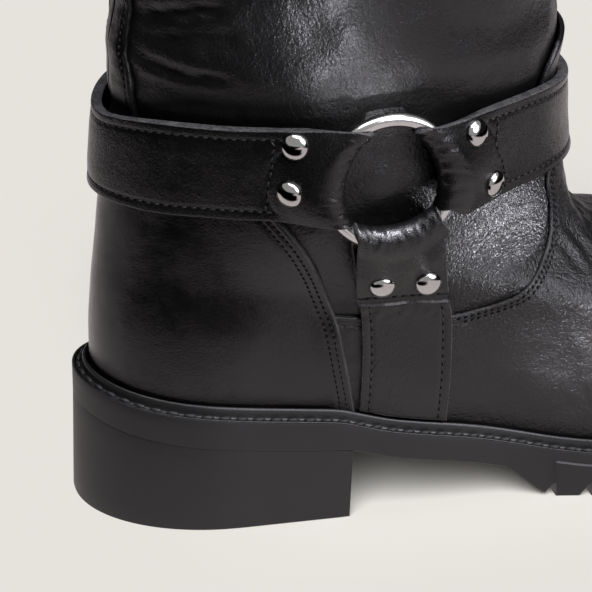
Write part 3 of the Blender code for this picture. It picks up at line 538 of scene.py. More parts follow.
def sew(shape, line, normals, kind):
    # a row of stitches along a line on a surface: thread capsules between flat dark discs, painted shade for the
    # needle holes
    look = threads[kind]
    at = lengthAlong(line)
    count = max(int(round(at[-1] / look["pitch"])), 1)

    def read(where, values):
        return np.stack([np.interp(where, at, values[:, k]) for k in range(3)], 1)

    def seats(where, rise):
        # places on the row, with x along it and z off the leather
        ahead = unit(read(where + 0.5, line) - read(where - 0.5, line))
        for spot, up, run in zip(read(where, line), unit(read(where, normals)), ahead):
            across = unit(np.cross(up, run))
            turn = Matrix((np.cross(across, up), across, up)).transposed().to_4x4()
            yield Matrix.Translation(Vector(toMetres(spot + up * rise))) @ turn

    size = Matrix.Diagonal((look["length"] / 2, look["width"] / 2, look["height"], 1 / mm)) * mm
    for seat in seats((np.arange(count) + 0.5) * at[-1] / count, look["rise"]):
        bmesh.ops.create_uvsphere(shape, u_segments=6, v_segments=4, radius=1.0, matrix=seat @ size)
    # flat dark, dull discs at each needle hole: painted shade standing in for the shadow inside the holes
    if "hole" in look:
        first = len(shape.faces)
        slant = (Matrix.Rotation(math.radians(threads["holeSlant"]), 4, "Z")
                 @ Matrix.Diagonal(threads["holeStretch"]))
        for seat in seats(np.arange(count + 1) * at[-1] / count, look["holeRise"]):
            bmesh.ops.create_circle(shape, cap_ends=True, segments=8, radius=look["hole"] * mm, matrix=seat @ slant)
        for face in list(shape.faces)[first:]:
            face.material_index = 1


# upper: one leather shell with a rounded top line and a lining
upperShell = {
    "around": 300, "wall": 2.2, "footRows": 8, "ankleRows": 120, "shaftRows": 56, "liningRows": 46,
    "rowStops": (0.02, 3.0, 12.2, 14.96), "lipRows": (14.985, 15.0, 15.0, 14.985),
    "lipDepths": (-0.25, -0.8, -1.4, -1.95),
    "tightRows": (0.3, 1.5), "collarFade": 0.4, "liningWave": 0.6,
}


def offWelt(row):
    # creases fade where the leather is pulled tight at the welt
    start, rise = upperShell["tightRows"]
    return ease((row - start) / rise)


def buildUpper():
    s = upperShell
    foot, ankle, shaft, top = s["rowStops"]
    rows = np.concatenate((np.linspace(foot, ankle, s["footRows"])[:-1],
                           np.linspace(ankle, shaft, s["ankleRows"])[:-1],
                           np.linspace(shaft, top, s["shaftRows"]), s["lipRows"],
                           np.linspace(top, foot, s["liningRows"]), (foot,)))
    outer = s["footRows"] + s["ankleRows"] + s["shaftRows"] - 2
    lifts = np.concatenate((np.zeros(outer), s["lipDepths"], np.full(s["liningRows"], -s["wall"]), (0.0,)))
    last = len(rows) - 1

    def place(u, w):
        k = np.round(w * last).astype(int)
        row, turn = rows[k], 2 * u - 1
        spots = onBoot(row, turn, lifts[k])
        wave = leatherLift(spots) * offWelt(row) * ease((topRow - row) / s["collarFade"])
        return spots + formNormal(row, turn) * np.where(k < outer, wave, s["liningWave"] * wave)[:, None]

    shape = gridShape(s["around"], last, place, lambda u, w: w * last > outer + len(s["lipRows"]) - 1)
    finishPiece("upperShell", shape, ("grainedLeather", "liningLeather"), ["upper"])


buildUpper()

# panels sewn over the upper: what their edges and seams share
seams = {"bed": 0.15, "grooveDepth": 0.30, "grooveWidth": 0.60, "sheet": 0.3}


def panelLift(panel, away):
    # height over the upper by the distance from the panel's edge: rolled there, with a groove for each row of thread
    edge = np.clip(away / panel["roll"], 0, 1)
    lift = seams["bed"] + panel["thick"] * np.sqrt(np.maximum(0, 1 - (1 - edge) ** 2))
    for row in panel["rows"]:
        lift = lift - seams["grooveDepth"] * nearby(away, row, seams["grooveWidth"])
    return lift


def edgeParams(edge):
    xs, zs = np.array(edge).T
    steps = np.linspace(0, len(xs) - 1, 12 * (len(xs) - 1) + 1)
    k = np.arange(len(xs))
    return locate(alongLine(np.stack((k, xs), 1), steps), alongLine(np.stack((k, zs), 1), steps))


def toFront(edge, top, steps, bend):
    # rows and turns of an edge seen from the side, led on to its top at the front of the boot
    rows, turns = edgeParams(edge)
    more = np.linspace(0, 1, steps)[1:]
    rows = np.concatenate((rows, mix(rows[-1], float(rowAtHeight(1.0, top)), bend(more))))
    return rows, np.concatenate((turns, mix(turns[-1], 1.0, more)))


def bothSides(rows, turns, stations):
    # the edge on over the front to the medial side, as points, and as rows and turns evenly spaced
    rows, turns = np.concatenate((rows, rows[-2::-1])), np.concatenate((-turns, -2 + turns[-2::-1]))
    edge = formPoint(rows, turns)
    return edge, evenly(np.concatenate((edge, np.stack((rows, turns), 1)), 1), stations + 1)[:, 3:]


def insetShare(edge, place, inset):
    # share along place's run at which each line stands the inset away from the edge
    steps = np.linspace(0.0, 1.0, 40)
    away = np.array([distanceTo(place(s), edge) for s in steps])
    return np.array([np.interp(inset, column, steps) for column in away.T])


def sewOnBoot(shape, row, turn, lift):
    sew(shape, onBoot(row, turn, lift), formNormal(row, turn), "panel")


vampPanel = {
    "edge": [(60.0, 64.5), (85.0, 62.0), (102.0, 61.0), (113.0, 63.0), (121.2, 66.6), (129.0, 71.4),
             (134.2, 77.6), (135.6, 85.0), (134.4, 93.0), (136.0, 100.0)],
    "top": 104.0, "topSteps": 24, "thick": 1.35, "roll": 0.9, "rows": (1.3, 2.6),
    "rearFoot": (71.0, 34.0), "footRow": 0.05, "crowd": 1.25, "stations": 420, "bands": 90,
    # the edge row, past the share below, takes the cut edge's colour: raw fibres and a painted highlight
    "flatShare": 0.6, "flatAway": 20.0, "cutHighlightShare": 0.987, "sewnFrom": 70, "sewnReach": 0.25,
}


def vampEdgeLine():
    return toFront(vampPanel["edge"], vampPanel["top"], vampPanel["topSteps"], ease)


def buildVamp():
    v, last, reach = vampPanel, vampPanel["stations"], vampPanel["sewnReach"]
    edge, params = bothSides(*vampEdgeLine(), last)
    edge = edge[::3]
    rear = -float(locate(*v["rearFoot"])[1])
    lowTurns = np.linspace(rear, -2 - rear, last + 1)

    def param(u, w):
        k = np.round(u * last).astype(int)
        rise = 1 - (1 - w) ** v["crowd"]
        return mix(v["footRow"], params[k, 0], rise), mix(lowTurns[k], params[k, 1], rise)

    def liftAt(row, turn, away):
        return panelLift(v, away) + leatherLift(formPoint(row, turn)) * offWelt(row)

    def place(u, w):
        row, turn = param(u, w)
        away = np.where(w < v["flatShare"], v["flatAway"], distanceTo(formPoint(row, turn), edge))
        return onBoot(row, turn, liftAt(row, turn, away))

    # the edge row gets the cut edge's colour, partly raw fibres and partly a painted highlight
    shape = gridShape(last, v["bands"], place, lambda u, w: w > v["cutHighlightShare"])
    finishPiece("vampPanel", shape, ("grainedLeather", "cutEdgeHighlight"), ["vamp"], seams["sheet"])
    shape = bmesh.new()
    u = np.arange(v["sewnFrom"], last - v["sewnFrom"] + 1) / last
    for inset in v["rows"]:
        share = insetShare(edge, lambda t: formPoint(*param(u, 1 - reach * t)), inset)
        row, turn = param(u, 1 - reach * share)
        sewOnBoot(shape, row, turn, liftAt(row, turn, np.full(len(row), inset)))
    finishPiece("vampStitches", shape, ("thread", "needleHoleShade"))


counterPanel = {
    "edge": [(77.2, 30.0), (75.9, 37.0), (73.2, 50.0), (71.2, 60.0), (68.8, 67.0), (65.0, 77.0),
             (59.9, 87.0), (54.4, 95.0), (49.5, 101.0)],
    "top": 112.0, "thick": 1.6, "roll": 0.9, "rows": (2.3, 4.2), "footRow": 0.05, "stations": 260, "bands": 120,
    "creases": 0.2, "sewnRow": 0.25, "sewnTop": 101.0, "sewnSteps": 240, "sewnReach": 0.3,
    # where it climbs over the vamp: how many edge steps, rows and millimetres that takes
    "overEdge": 60, "overRows": (0.3, 1.3), "overAway": (1.0, 9.0),
}


def buildCounter():
    c = counterPanel
    rows, turns = edgeParams(c["edge"])
    order = np.argsort(rows)
    rows, turns = rows[order], turns[order]
    slope = (turns[-1] - turns[-6]) / (rows[-1] - rows[-6])
    top = float(rowAtHeight(0.0, c["top"]))
    rows, turns = np.append(rows, top), np.append(turns, turns[-1] + slope * (top - rows[-1]))
    lines = [formPoint(rows, side * turns)[::2] for side in (-1, 1)]
    heights = formPoint(rows, turns)[:, 2]
    vampRows, vampTurns = (values[:c["overEdge"]] for values in vampEdgeLine())

    def liftAt(row, turn):
        base = formPoint(row, turn)
        away = np.minimum(*(distanceTo(base, line) for line in lines))
        before, span = c["overRows"]
        under = ease((np.interp(np.abs(turn), vampTurns, vampRows) + before - row) / span)
        start, fade = c["overAway"]
        over = vampPanel["thick"] * under * (1 - ease((away - start) / fade))
        return panelLift(c, away) + over + leatherLift(base) * c["creases"] * offWelt(row)

    def place(u, w):
        row = mix(c["footRow"], top, w)
        turn = (1 - 2 * u) * np.interp(row, rows, turns)
        return onBoot(row, turn, liftAt(row, turn))

    # both side edges get the cut edge's colour, partly raw fibres and partly a painted highlight
    def mark(u, w):
        return (u < 1 / c["stations"]) | (u > 1 - 1 / c["stations"])

    finishPiece("counterPanel", gridShape(c["stations"], c["bands"], place, mark), ("smoothLeather", "cutEdgeHighlight"),
                ["counter"], seams["sheet"])
    shape = bmesh.new()
    reach = np.linspace(c["sewnRow"], np.interp(c["sewnTop"], heights, rows), c["sewnSteps"])
    for side, line in zip((-1, 1), lines):
        outer = side * np.interp(reach, rows, turns)
        for inset in c["rows"]:
            share = insetShare(line, lambda t: formPoint(reach, outer * (1 - c["sewnReach"] * t)), inset)
            turn = outer * (1 - c["sewnReach"] * share)
            sewOnBoot(shape, reach, turn, liftAt(reach, turn))
    finishPiece("counterStitches", shape, ("thread", "needleHoleShade"))


backStay = {
    "half": 9.4, "footSpread": 3.2, "spreadZ": (142.0, 14.0), "thick": 1.5, "roll": 1.1, "rows": (2.2,),
    "lowZ": 112.0, "topRow": 14.97, "stations": 48, "bands": 200,
    "wave": 0.5, "waveAway": (1.2, 0.9), "waveSize": 26.0, "waveSeed": 8,
    "sewnZ": 124.0, "sewnTop": 14.9, "sewnSteps": 400, "sewnShare": 0.78, "threadSink": 0.2,
}


def stayReach(row):
    cut = sectionAt(row)
    top, fall = backStay["spreadZ"]
    width = backStay["half"] + backStay["footSpread"] * ease((top - cut[..., 1]) / fall)
    return shareToTurn(cut[..., 8] * (1 - np.sqrt(1 - (width / cut[..., 5]) ** 2)))


def buildStay():
    b = backStay
    low = float(rowAtHeight(0.0, b["lowZ"]))

    def place(u, w):
        row = mix(low, b["topRow"], w)
        reach = stayReach(row)
        turn = (1 - 2 * u) * reach
        base = formPoint(row, turn)
        away = np.linalg.norm(base - formPoint(row, np.sign(turn) * reach), axis=1)
        wave = b["wave"] * nearby(away, *b["waveAway"]) * softNoise(base, b["waveSize"], b["waveSeed"])
        return onBoot(row, turn, panelLift(b, away) + leatherLift(base) + wave)

    finishPiece("backStay", gridShape(b["stations"], b["bands"], place), ("grainedLeather",),
                ["back_stay"], seams["sheet"])
    shape = bmesh.new()
    row = np.linspace(float(rowAtHeight(0.0, b["sewnZ"])), b["sewnTop"], b["sewnSteps"])
    for side in (-1, 1):
        turn = side * stayReach(row) * b["sewnShare"]
        level = seams["bed"] + b["thick"] - b["threadSink"]
        sewOnBoot(shape, row, turn, level + leatherLift(formPoint(row, turn)))
    finishPiece("stayStitches", shape, ("thread", "needleHoleShade"))


tongueTab = {
    "edge": [(130.8, 118.0), (130.8, 124.0), (132.6, 130.0), (136.0, 134.8)], "tip": 137.5, "tipSteps": 16,
    "thick": 1.5, "roll": 0.8, "rows": (), "lowZ": 110.0, "lowTurns": (-0.93, -1.07), "stations": 120, "bands": 40,
    "rise": 1.4, "riseZ": (122.0, 14.0), "creases": 0.3, "wall": 1.0,
}


def buildTongue():
    t, last = tongueTab, tongueTab["stations"]
    low = float(rowAtHeight(1.0, t["lowZ"]))
    rows, turns = toFront(t["edge"], t["tip"], t["tipSteps"], lambda more: np.sin(more * np.pi / 2))
    edge, params = bothSides(rows, turns, last)

    def place(u, w):
        k = np.round(u * last).astype(int)
        row, turn = mix(low, params[k, 0], w), mix(mix(*t["lowTurns"], u), params[k, 1], w)
        base = formPoint(row, turn)
        start, span = t["riseZ"]
        rise = t["rise"] * ease((base[:, 2] - start) / span)
        return onBoot(row, turn, panelLift(t, distanceTo(base, edge[::2])) + rise + t["creases"] * leatherLift(base))

    finishPiece("tongueTab", gridShape(last, t["bands"], place), ("grainedLeather",), ["tongue"],
                t["wall"])


buildVamp()
buildCounter()
buildStay()
buildTongue()
print("panels sewn")

# harness: straps folded round a ring on each side
steelRing = {"centre": (81.6, -46.6, 108.8), "radius": 18.0, "wire": 2.0, "segments": 24, "steps": 112}
harness = {
    "width": 27.0, "rearWidth": 23.5, "thick": 3.2, "step": 0.8, "endRound": 0.8,
    # the end that is folded round the wire: under the ring, round it, and over it back to the strap's bed
    "foldWidth": 27.0, "loopThick": 1.6, "loopGap": 0.35, "foldGap": 0.25, "foldSlack": 1.2, "foldSteps": 10,
    "foldLean": 0.1, "underBed": 1.5, "underSteps": (9.5, 6.5, 3.5), "underSlim": 8.0, "underDrop": 3.0,
    "overSteps": (3.0, 5.0, 7.5, 10.0, 13.0, 16.0), "thickRun": 16.0, "widenRun": 13.0, "bridgeRun": (8.0, 16.0),
    "crestFlat": 1.0, "crestHaste": 0.6,
    # what lies under the straps
    "panelGap": 0.2, "counterSolid": 1.4, "vampSolid": 1.1,
    # thread in its grooves, the crown between them and the ripples beside the ring
    "sewnShares": (0.112, 0.888), "endShares": (0.09, 0.91), "sewnHalf": 1.2, "grooveInset": 2.9, "grooveDepth": 0.3,
    "grooveWidth": 0.6, "grooveRun": 9.0, "crown": 0.2, "crownShares": (0.11, 0.2), "endGroove": 0.28,
    "endGrooveShare": 0.1, "middleY": 20.0, "outerY": 25.0, "ripple": 0.13, "rippleInset": 1.2, "rippleHalf": 3.2,
    "ripples": ((1.0, 2.4, 21), (0.6, 1.5, 22)), "rippleStretch": (0.4, 0.4, 1.0),
}
foldRadius = steelRing["wire"] + harness["foldGap"] + harness["loopThick"] / 2
overBed = harness["panelGap"] + harness["counterSolid"] + harness["loopGap"] + harness["thick"] / 2
# shares across a strap, crowded at its two edges, and how full the section is there
edgeShares = np.array([0.0, 0.003, 0.009, 0.02, 0.035])
strapShares = np.concatenate((edgeShares, np.linspace(0.06, 0.94, 41), 1 - edgeShares[::-1]))
strapEdge = np.minimum(strapShares, 1 - strapShares)
strapFull = np.interp(strapEdge, edgeShares, (0.62, 0.84, 0.96, 1.0, 1.0))


def sideWord(side):
    return "lateral" if side < 0 else "medial"


def ringSpot(side, angle):
    x, y, z = steelRing["centre"]
    turn, radius = np.radians(angle), steelRing["radius"]
    return np.stack((x + radius * np.cos(turn), np.full(np.shape(turn), -side * y), z + radius * np.sin(turn)), -1)


def foldRound(side, arc, share):
    # middle of the leather bent round the wire, from under it to over it
    at = mix(*arc, share)
    middle = ringSpot(side, at)
    lean = np.radians(mix((arc[0] + arc[1]) / 2, at, harness["foldLean"]))
    away = np.stack((np.cos(lean), np.zeros(lean.shape), np.sin(lean)), -1)
    deep = (foldRadius + harness["foldSlack"] * (1 - (2 * share - 1) ** 2))[:, None]
    swings = -np.pi / 2 + np.pi * np.arange(harness["foldSteps"] + 1) / harness["foldSteps"]
    return [middle - away * math.cos(s) * deep + np.array((0, side * math.sin(s) * foldRadius, 0)) for s in swings]


def crestOver(wire, leather):
    # how far the leather stands off the boot where it passes over the wire
    return np.abs(wire[:, 1]) - np.abs(leather[:, 1]) + foldRadius


def overThick(distance):
    return float(mix(harness["loopThick"], harness["thick"], ease(distance / harness["thickRun"])))


def overOffset(distance, crest, bed, run):
    # from the crest over the wire down to the strap's bed, soonest beside the wire
    flat = harness["crestFlat"]
    t = np.clip((distance - flat) / (run - flat), 0, 1)
    return mix(crest, bed, mix(ease(t), 1 - (1 - t) ** 2, harness["crestHaste"]))


def foldedEnd(side, strap):
    h, ahead = harness, strap["ahead"]
    roundShare = strapShares if ahead > 0 else 1 - strapShares
    wire = ringSpot(side, mix(*strap["fold"], roundShare))

    def spot(distance, offset, width):
        x = wire[:, 0] + ahead * distance
        return sideSpot(x, alongLine(strap["line"], x) + (strapShares - 0.5) * width, side, offset)

    crest = crestOver(wire, spot(0.0, 0.0, h["foldWidth"]))
    slim, drop = h["foldWidth"] - h["underSlim"], (0, 0, h["underDrop"])
    under = [spot(d, h["underBed"], slim) - drop for d in h["underSteps"]]
    over = []
    start, fade = h["bridgeRun"]
    for d in h["overSteps"]:
        width = mix(h["foldWidth"], h["width"], ease(d / h["widenRun"]))
        level = overBed + (h["thick"] - overThick(d)) / 2 + strap["bridge"] * (1 - ease((d - start) / fade))
        over.append(spot(d, overOffset(d, crest, level, strap["run"]), width))
    return under + foldRound(side, strap["fold"], roundShare) + over


def sweepStrap(name, rows, weights, node, relief):
    # rounded section swept along the rows; relief gives what it adds to the two faces
    middle, at, where = pathThrough(np.array(rows), harness["step"])
    half = np.interp(where, at, weights) / 2
    along = np.gradient(middle, axis=0)
    normal = unit(np.cross(along, np.gradient(middle, axis=1)))
    outside = np.sign((normal * np.array((0, 1, 0)) * np.sign(middle[..., 1:2])).sum())
    normal = normal * (outside if outside else 1.0)
    skin = {"middle": middle, "normal": normal, "half": half}
    over, under = relief(skin)
    full = half[:, None] * strapFull
    skin["top"] = middle + normal * (full + over)[..., None]
    skin["bottom"] = middle - normal * (full + under)[..., None]
    loop = np.concatenate((skin["top"], skin["bottom"][:, ::-1], skin["top"][:, :1]), 1)
    # rounded ends: the section shrinks to its middle over a few rows
    caps = []
    for end, ahead in ((0, -1), (-1, 1)):
        run = unit(along[end].mean(0)) * ahead * half[end] * harness["endRound"]
        core = np.concatenate((middle[end], middle[end][::-1], middle[end][:1]))
        caps.append(np.array([mix(core, loop[end], math.cos(a)) + run * math.sin(a)
                              for a in np.linspace(0, np.pi / 2, 4)[1:]]))
    loop = np.concatenate((caps[0][::-1], loop, caps[1]))
    stations, stops = loop.shape[0] - 1, loop.shape[1] - 1
    count, capRows = len(strapShares), len(caps[0])

    def place(u, w):
        return loop[np.round(u * stations).astype(int), np.round(w * stops).astype(int)]

    def mark(u, w):
        k = w * stops % count
        return (k < 2) | (k > count - 3) | (u * stations < capRows) | (u * stations > stations - capRows)

    finishPiece(name, gridShape(stations, stops, place, mark), ("strapLeather", "rawEdge"), [node])
    return skin


def strapGroove(width, inset, depth):
    return -depth * nearby(strapEdge * width, inset, harness["grooveWidth"])


def crestRipple(skin, stretch):
    # short creases over the bend beside the ring, drawn out along the strap
    h, spots, (x, _, z) = harness, skin["middle"], steelRing["centre"]
    away = np.hypot(spots[..., 0] - x, spots[..., 2] - z) - steelRing["radius"] + h["rippleInset"]
    fine = sum(height * softNoise(spots * stretch, size, seed) for height, size, seed in h["ripples"])
    return h["ripple"] * fine * nearby(away, 0.0, h["rippleHalf"])


def rowOnStrap(skin, share, start, stop):
    j = int(np.argmin(np.abs(strapShares - share)))
    return skin["top"][start:stop, j], skin["normal"][start:stop, j]


def endRow(skin, line, side):
    # stitches across the strap, following the line where its end is sewn
    spots, ups = [], []
    low, high = harness["endShares"]
    zs, xs = np.array(line).T
    for j in np.flatnonzero((strapShares >= low) & (strapShares <= high)):
        path = skin["top"][:, j]
        goal = np.interp(path[:, 2], zs, xs)
        outer = (np.abs(path[:, 1]) > harness["outerY"]) & (skin["middle"][:, j, 1] * side > 0)
        outer &= skin["half"] > harness["sewnHalf"]
        k = int(np.argmin(np.where(outer, np.abs(path[:, 0] - goal), 1e9)))
        spots.append(path[k])
        ups.append(skin["normal"][k, j])
    return np.array(spots), np.array(ups)


def runLimits(skin, line):
    # stations where the stitched run begins and ends, lateral first
    mid = skin["middle"][:, len(strapShares) // 2]
    away = np.abs(mid[:, 0] - np.interp(mid[:, 2], *np.array(line).T))
    thick = skin["half"] > harness["sewnHalf"]
    return [int(np.argmin(np.where(thick & (mid[:, 1] * side > harness["middleY"]), away, 1e9))) for side in (-1, 1)]


def sewRun(name, skin, line):
    start, stop = runLimits(skin, line)
    shape = bmesh.new()
    for share in harness["sewnShares"]:
        sew(shape, *rowOnStrap(skin, share, start, stop + 1), "strap")
    for side in (-1, 1):
        sew(shape, *endRow(skin, line, side), "strap")
    finishPiece(name, shape, ("thread", "needleHoleShade"))


def runRelief(line):
    h = harness

    def relief(skin):
        start, stop = runLimits(skin, line)
        k = np.arange(len(skin["half"]))[:, None]
        inRun = ease((k - start) / h["grooveRun"]) * ease((stop - k) / h["grooveRun"])
        first, rise = h["crownShares"]
        crown = h["crown"] * ease((strapEdge - first) / rise)
        ends = (nearby(k, start, 1.0) + nearby(k, stop, 1.0)) * (strapEdge > h["endGrooveShare"])
        groove = strapGroove(h["width"], h["grooveInset"], h["grooveDepth"])
        return inRun * (groove + crown) - h["endGroove"] * ends + crestRipple(skin, h["rippleStretch"]), 0.0
    return relief


def hangStrap(name, node, strap, runSpot):
    # both folded ends with the run between them
    ends = {side: foldedEnd(side, strap) for side in (-1, 1)}
    run = [runSpot(mix(*strap["turns"], k / strap["stations"])) for k in range(strap["stations"] + 1)]
    steps = [overThick(d) for d in harness["overSteps"]]
    end = [harness["loopThick"]] * (len(ends[1]) - len(steps)) + steps
    skin = sweepStrap(name, ends[-1] + run + ends[1][::-1], end + [harness["thick"]] * len(run) + end[::-1], node,
                      runRelief(strap["end"]))
    sewRun(name + "Stitches", skin, strap["end"])
    return skin


heelStrap = {
    "line": [(8.0, 107.9), (14.0, 109.4), (24.0, 110.4), (40.0, 111.1), (52.0, 112.0), (64.0, 112.4)],
    "fold": (117.0, 218.0), "ahead": -1, "run": 14.0, "bridge": 0.0, "turns": (-0.31, 0.31), "stations": 24,
    "end": [(103.5, 48.2), (110.7, 48.8), (117.7, 49.3), (125.1, 50.0)],
    "middleZ": 108.0, "narrow": 0.22, "rearLean": 0.15,
}


def buildHeelStrap():
    h = heelStrap

    def runSpot(turn):
        middle = float(alongLine(h["line"], onBoot(rowAtHeight(turn, h["middleZ"]), turn, overBed)[..., 0]))
        width = mix(harness["rearWidth"], harness["width"], float(ease(abs(turn) / h["narrow"])))
        low = middle - width / 2
        z = low + strapShares * width
        near = onBoot(rowAtHeight(turn, z), turn, np.full(z.shape, overBed))
        base = onBoot(rowAtHeight(turn, low), turn, overBed)
        upright = np.stack((np.full(z.shape, base[0]), np.full(z.shape, base[1]), z), -1)
        return mix(near, upright, (h["rearLean"] * math.cos(turn * math.pi) ** 2 * strapShares)[:, None])

    return hangStrap("heelStrap", "heel_strap", h, runSpot)


instepStrap = {
    "line": [(99.0, 111.8), (108.0, 112.0), (122.0, 112.2), (134.0, 111.6), (145.0, 110.4)],
    "fold": (331.0, 420.0), "ahead": 1, "run": 17.0, "bridge": 1.6, "turns": (-0.745, -1.255), "stations": 20,
    "end": [(101.5, 117.7), (108.6, 115.2), (115.3, 112.6), (121.2, 113.4)],
    "middleZ": 112.0, "narrow": (0.75, 0.2), "frontExtra": 1.0,
}


def buildInstepStrap():
    s = instepStrap
    bed = harness["panelGap"] + harness["vampSolid"] + harness["loopGap"] + harness["thick"] / 2

    def runSpot(turn):
        turn = turn + 2 if turn < -1 else turn
        middle = float(alongLine(s["line"], formPoint(rowAtHeight(turn, s["middleZ"]), turn)[..., 0]))
        start, span = s["narrow"]
        frontWidth = harness["rearWidth"] + s["frontExtra"]
        width = mix(harness["width"], frontWidth, float(ease((abs(turn) - start) / span)))
        z = middle + (strapShares - 0.5) * width
        return onBoot(rowAtHeight(turn, z), turn, np.full(z.shape, bed))

    return hangStrap("instepStrap", "instep_strap", s, runSpot)


downStrap = {
    "line": [(28.0, 90.6), (63.0, 90.0), (75.0, 87.4), (91.0, 84.6)], "fold": (236.0, 320.0), "run": 18.0,
    "width": 25.6, "foot": 5.2, "footZ": 30.0, "flapEnd": 69.3,
    # heights on the way up, then distances under the wire on the way up and down, then the rest of the flap
    "climb": (40.0, 45.0, 50.0, 55.0, 60.0, 63.5, 67.0, 70.5, 74.0), "climbUnder": (10.0, 4.0),
    "dropUnder": (3.0, 6.0, 10.0, 14.0), "dropZ": 73.5, "slim": 0.09, "slimRun": 15.0,
    "onUpper": 0.2, "onVamp": (74.0, 8.0), "grooveInset": 2.6, "grooveDepth": 0.32, "grooveOver": 2.0,
    "flapGroove": 0.3, "flapInset": 1.4, "flapHalf": 0.6, "flapShare": 0.09, "flapThin": 0.95, "flapRun": 2.0,
    "ripple": 0.14, "rippleZ": (65.5, 3.5), "rippleStretch": (0.8, 1.0, 1.5), "rippleSize": 3.4, "rippleSeed": 31,
    "crestStretch": (1.0, 0.4, 0.4), "sewnShares": (0.108, 0.892), "endShares": (0.1, 0.9),
}


def downBed(z):
    top, fall = downStrap["onVamp"]
    under = mix(downStrap["onUpper"], harness["panelGap"] + harness["vampSolid"], ease((top - z) / fall))
    return under + harness["loopGap"]


def buildDownStrap(side):
    d, thin = downStrap, harness["loopThick"]
    across = (strapShares - 0.5) * d["width"]
    wire = ringSpot(side, mix(*d["fold"], strapShares))
    wireZ = wire[:, 2]

    def spot(z, offset, slim=0.0):
        z = np.broadcast_to(z, strapShares.shape)
        return sideSpot(alongLine(d["line"], z) + np.where(across > 0, 1 - slim, 1) * across, z, side, offset)

    crest = crestOver(wire, spot(wireZ, 0.0))
    foot = rimZ(alongLine(d["line"], d["footZ"]) + across) + d["foot"]
    climb = [foot, *d["climb"], *(wireZ - under for under in d["climbUnder"])]
    drop = [*(wireZ - under for under in d["dropUnder"]), d["dropZ"], d["flapEnd"]]
    rows = [spot(z, downBed(z) + thin / 2) for z in climb] + foldRound(side, d["fold"], strapShares)
    for z in drop:
        bed = downBed(z) + harness["loopGap"] + thin * 1.5
        slim = d["slim"] * (1 - ease((wireZ - z) / d["slimRun"]))
        rows.append(spot(z, overOffset(wireZ - z, crest, bed, d["run"]), slim))

    def relief(skin):
        z, end = skin["middle"][..., 2], d["flapEnd"]
        first = np.arange(len(z))[:, None] < len(z) // 2
        low = first & (z < end + d["grooveOver"])
        groove = strapGroove(d["width"], d["grooveInset"], d["grooveDepth"])
        flap = nearby(z, end + d["flapInset"], d["flapHalf"]) * ~first * (strapEdge > d["flapShare"])
        thinned = thin * d["flapThin"] * ease((end + d["flapRun"] - z) / d["flapRun"]) * ~first
        uneven = softNoise(skin["middle"] * d["rippleStretch"], d["rippleSize"], d["rippleSeed"])
        ripple = d["ripple"] * uneven * nearby(z, *d["rippleZ"]) * first
        outer = crestRipple(skin, d["crestStretch"]) - d["flapGroove"] * flap - thinned
        return np.where(low, groove, 0.0) + ripple, outer

    word = sideWord(side)
    skin = sweepStrap("downStrap" + word.title(), rows, [thin] * len(rows), "down_strap_" + word, relief)
    shape = bmesh.new()
    z = skin["middle"][:, len(strapShares) // 2, 2]
    half = len(z) // 2
    stop = int(np.argmin(np.abs(z[:half] - d["flapEnd"])))
    for share in d["sewnShares"]:
        sew(shape, *rowOnStrap(skin, share, 1, stop + 2), "strap")
    late = half + int(np.argmin(np.abs(z[half:] - d["flapEnd"] - d["flapInset"])))
    inside = (strapShares > d["endShares"][0]) & (strapShares < d["endShares"][1])
    sew(shape, skin["bottom"][late, inside], -skin["normal"][late, inside], "strap")
    finishPiece("downStitches" + word.title(), shape, ("thread", "needleHoleShade"))
    return skin


def spinRound(shape, axis, steps):
    bmesh.ops.spin(shape, geom=shape.verts[:] + shape.edges[:], cent=(0, 0, 0), axis=axis, angle=2 * math.pi,
                   steps=steps, use_merge=True)


def buildRing(side):
    word = sideWord(side)
    x, y, z = steelRing["centre"]
    shape = bmesh.new()
    section = bmesh.ops.create_circle(shape, segments=steelRing["segments"], radius=steelRing["wire"] * mm)["verts"]
    bmesh.ops.translate(shape, verts=section, vec=Vector((steelRing["radius"] * mm, 0, 0)))
    spinRound(shape, (0, 1, 0), steelRing["steps"])
    bmesh.ops.translate(shape, verts=shape.verts, vec=Vector(toMetres((x, -side * y, z))))
    finishPiece("ring" + word.title(), shape, ("ringChrome",), ["ring_" + word])


rivets = {
    "radius": 3.85, "height": 2.4, "lip": 0.3, "foot": ((0.08, 0.1), (0.35, -0.3)), "steps": 40, "sink": 0.15,
    "sharp": 50, "reach": 1.0, "around": 3.5, "level": 1.6, "facing": 0.3,
    "nudges": {"heel_high": (-1.0, 0.0), "heel_low": (-0.3, 0.0), "instep_high": (0.0, 0.3),
               "instep_low": (-0.6, 1.2), "down_back": (0.0, -0.4), "down_front": (0.0, -1.3)},
}


def seatOn(skin, spot):
    # where a rivet meets the outer face of a strap, and which way it looks
    points = np.concatenate((skin["top"].reshape(-1, 3), skin["bottom"].reshape(-1, 3)))
    ups = np.concatenate((skin["normal"].reshape(-1, 3), -skin["normal"].reshape(-1, 3)))
    outer = ups[:, 1] * np.sign(spot[1]) > rivets["facing"]
    points, ups = points[outer], ups[outer]
    away = np.hypot(points[:, 0] - spot[0], points[:, 2] - spot[2])
    near = np.flatnonzero(away < rivets["reach"])
    seat = points[near[np.argmax(np.abs(points[near, 1]))]]
    around = (away < rivets["around"]) & (np.abs(points[:, 1] - seat[1]) < rivets["level"])
    return seat, unit(unit(ups[around]).mean(0))


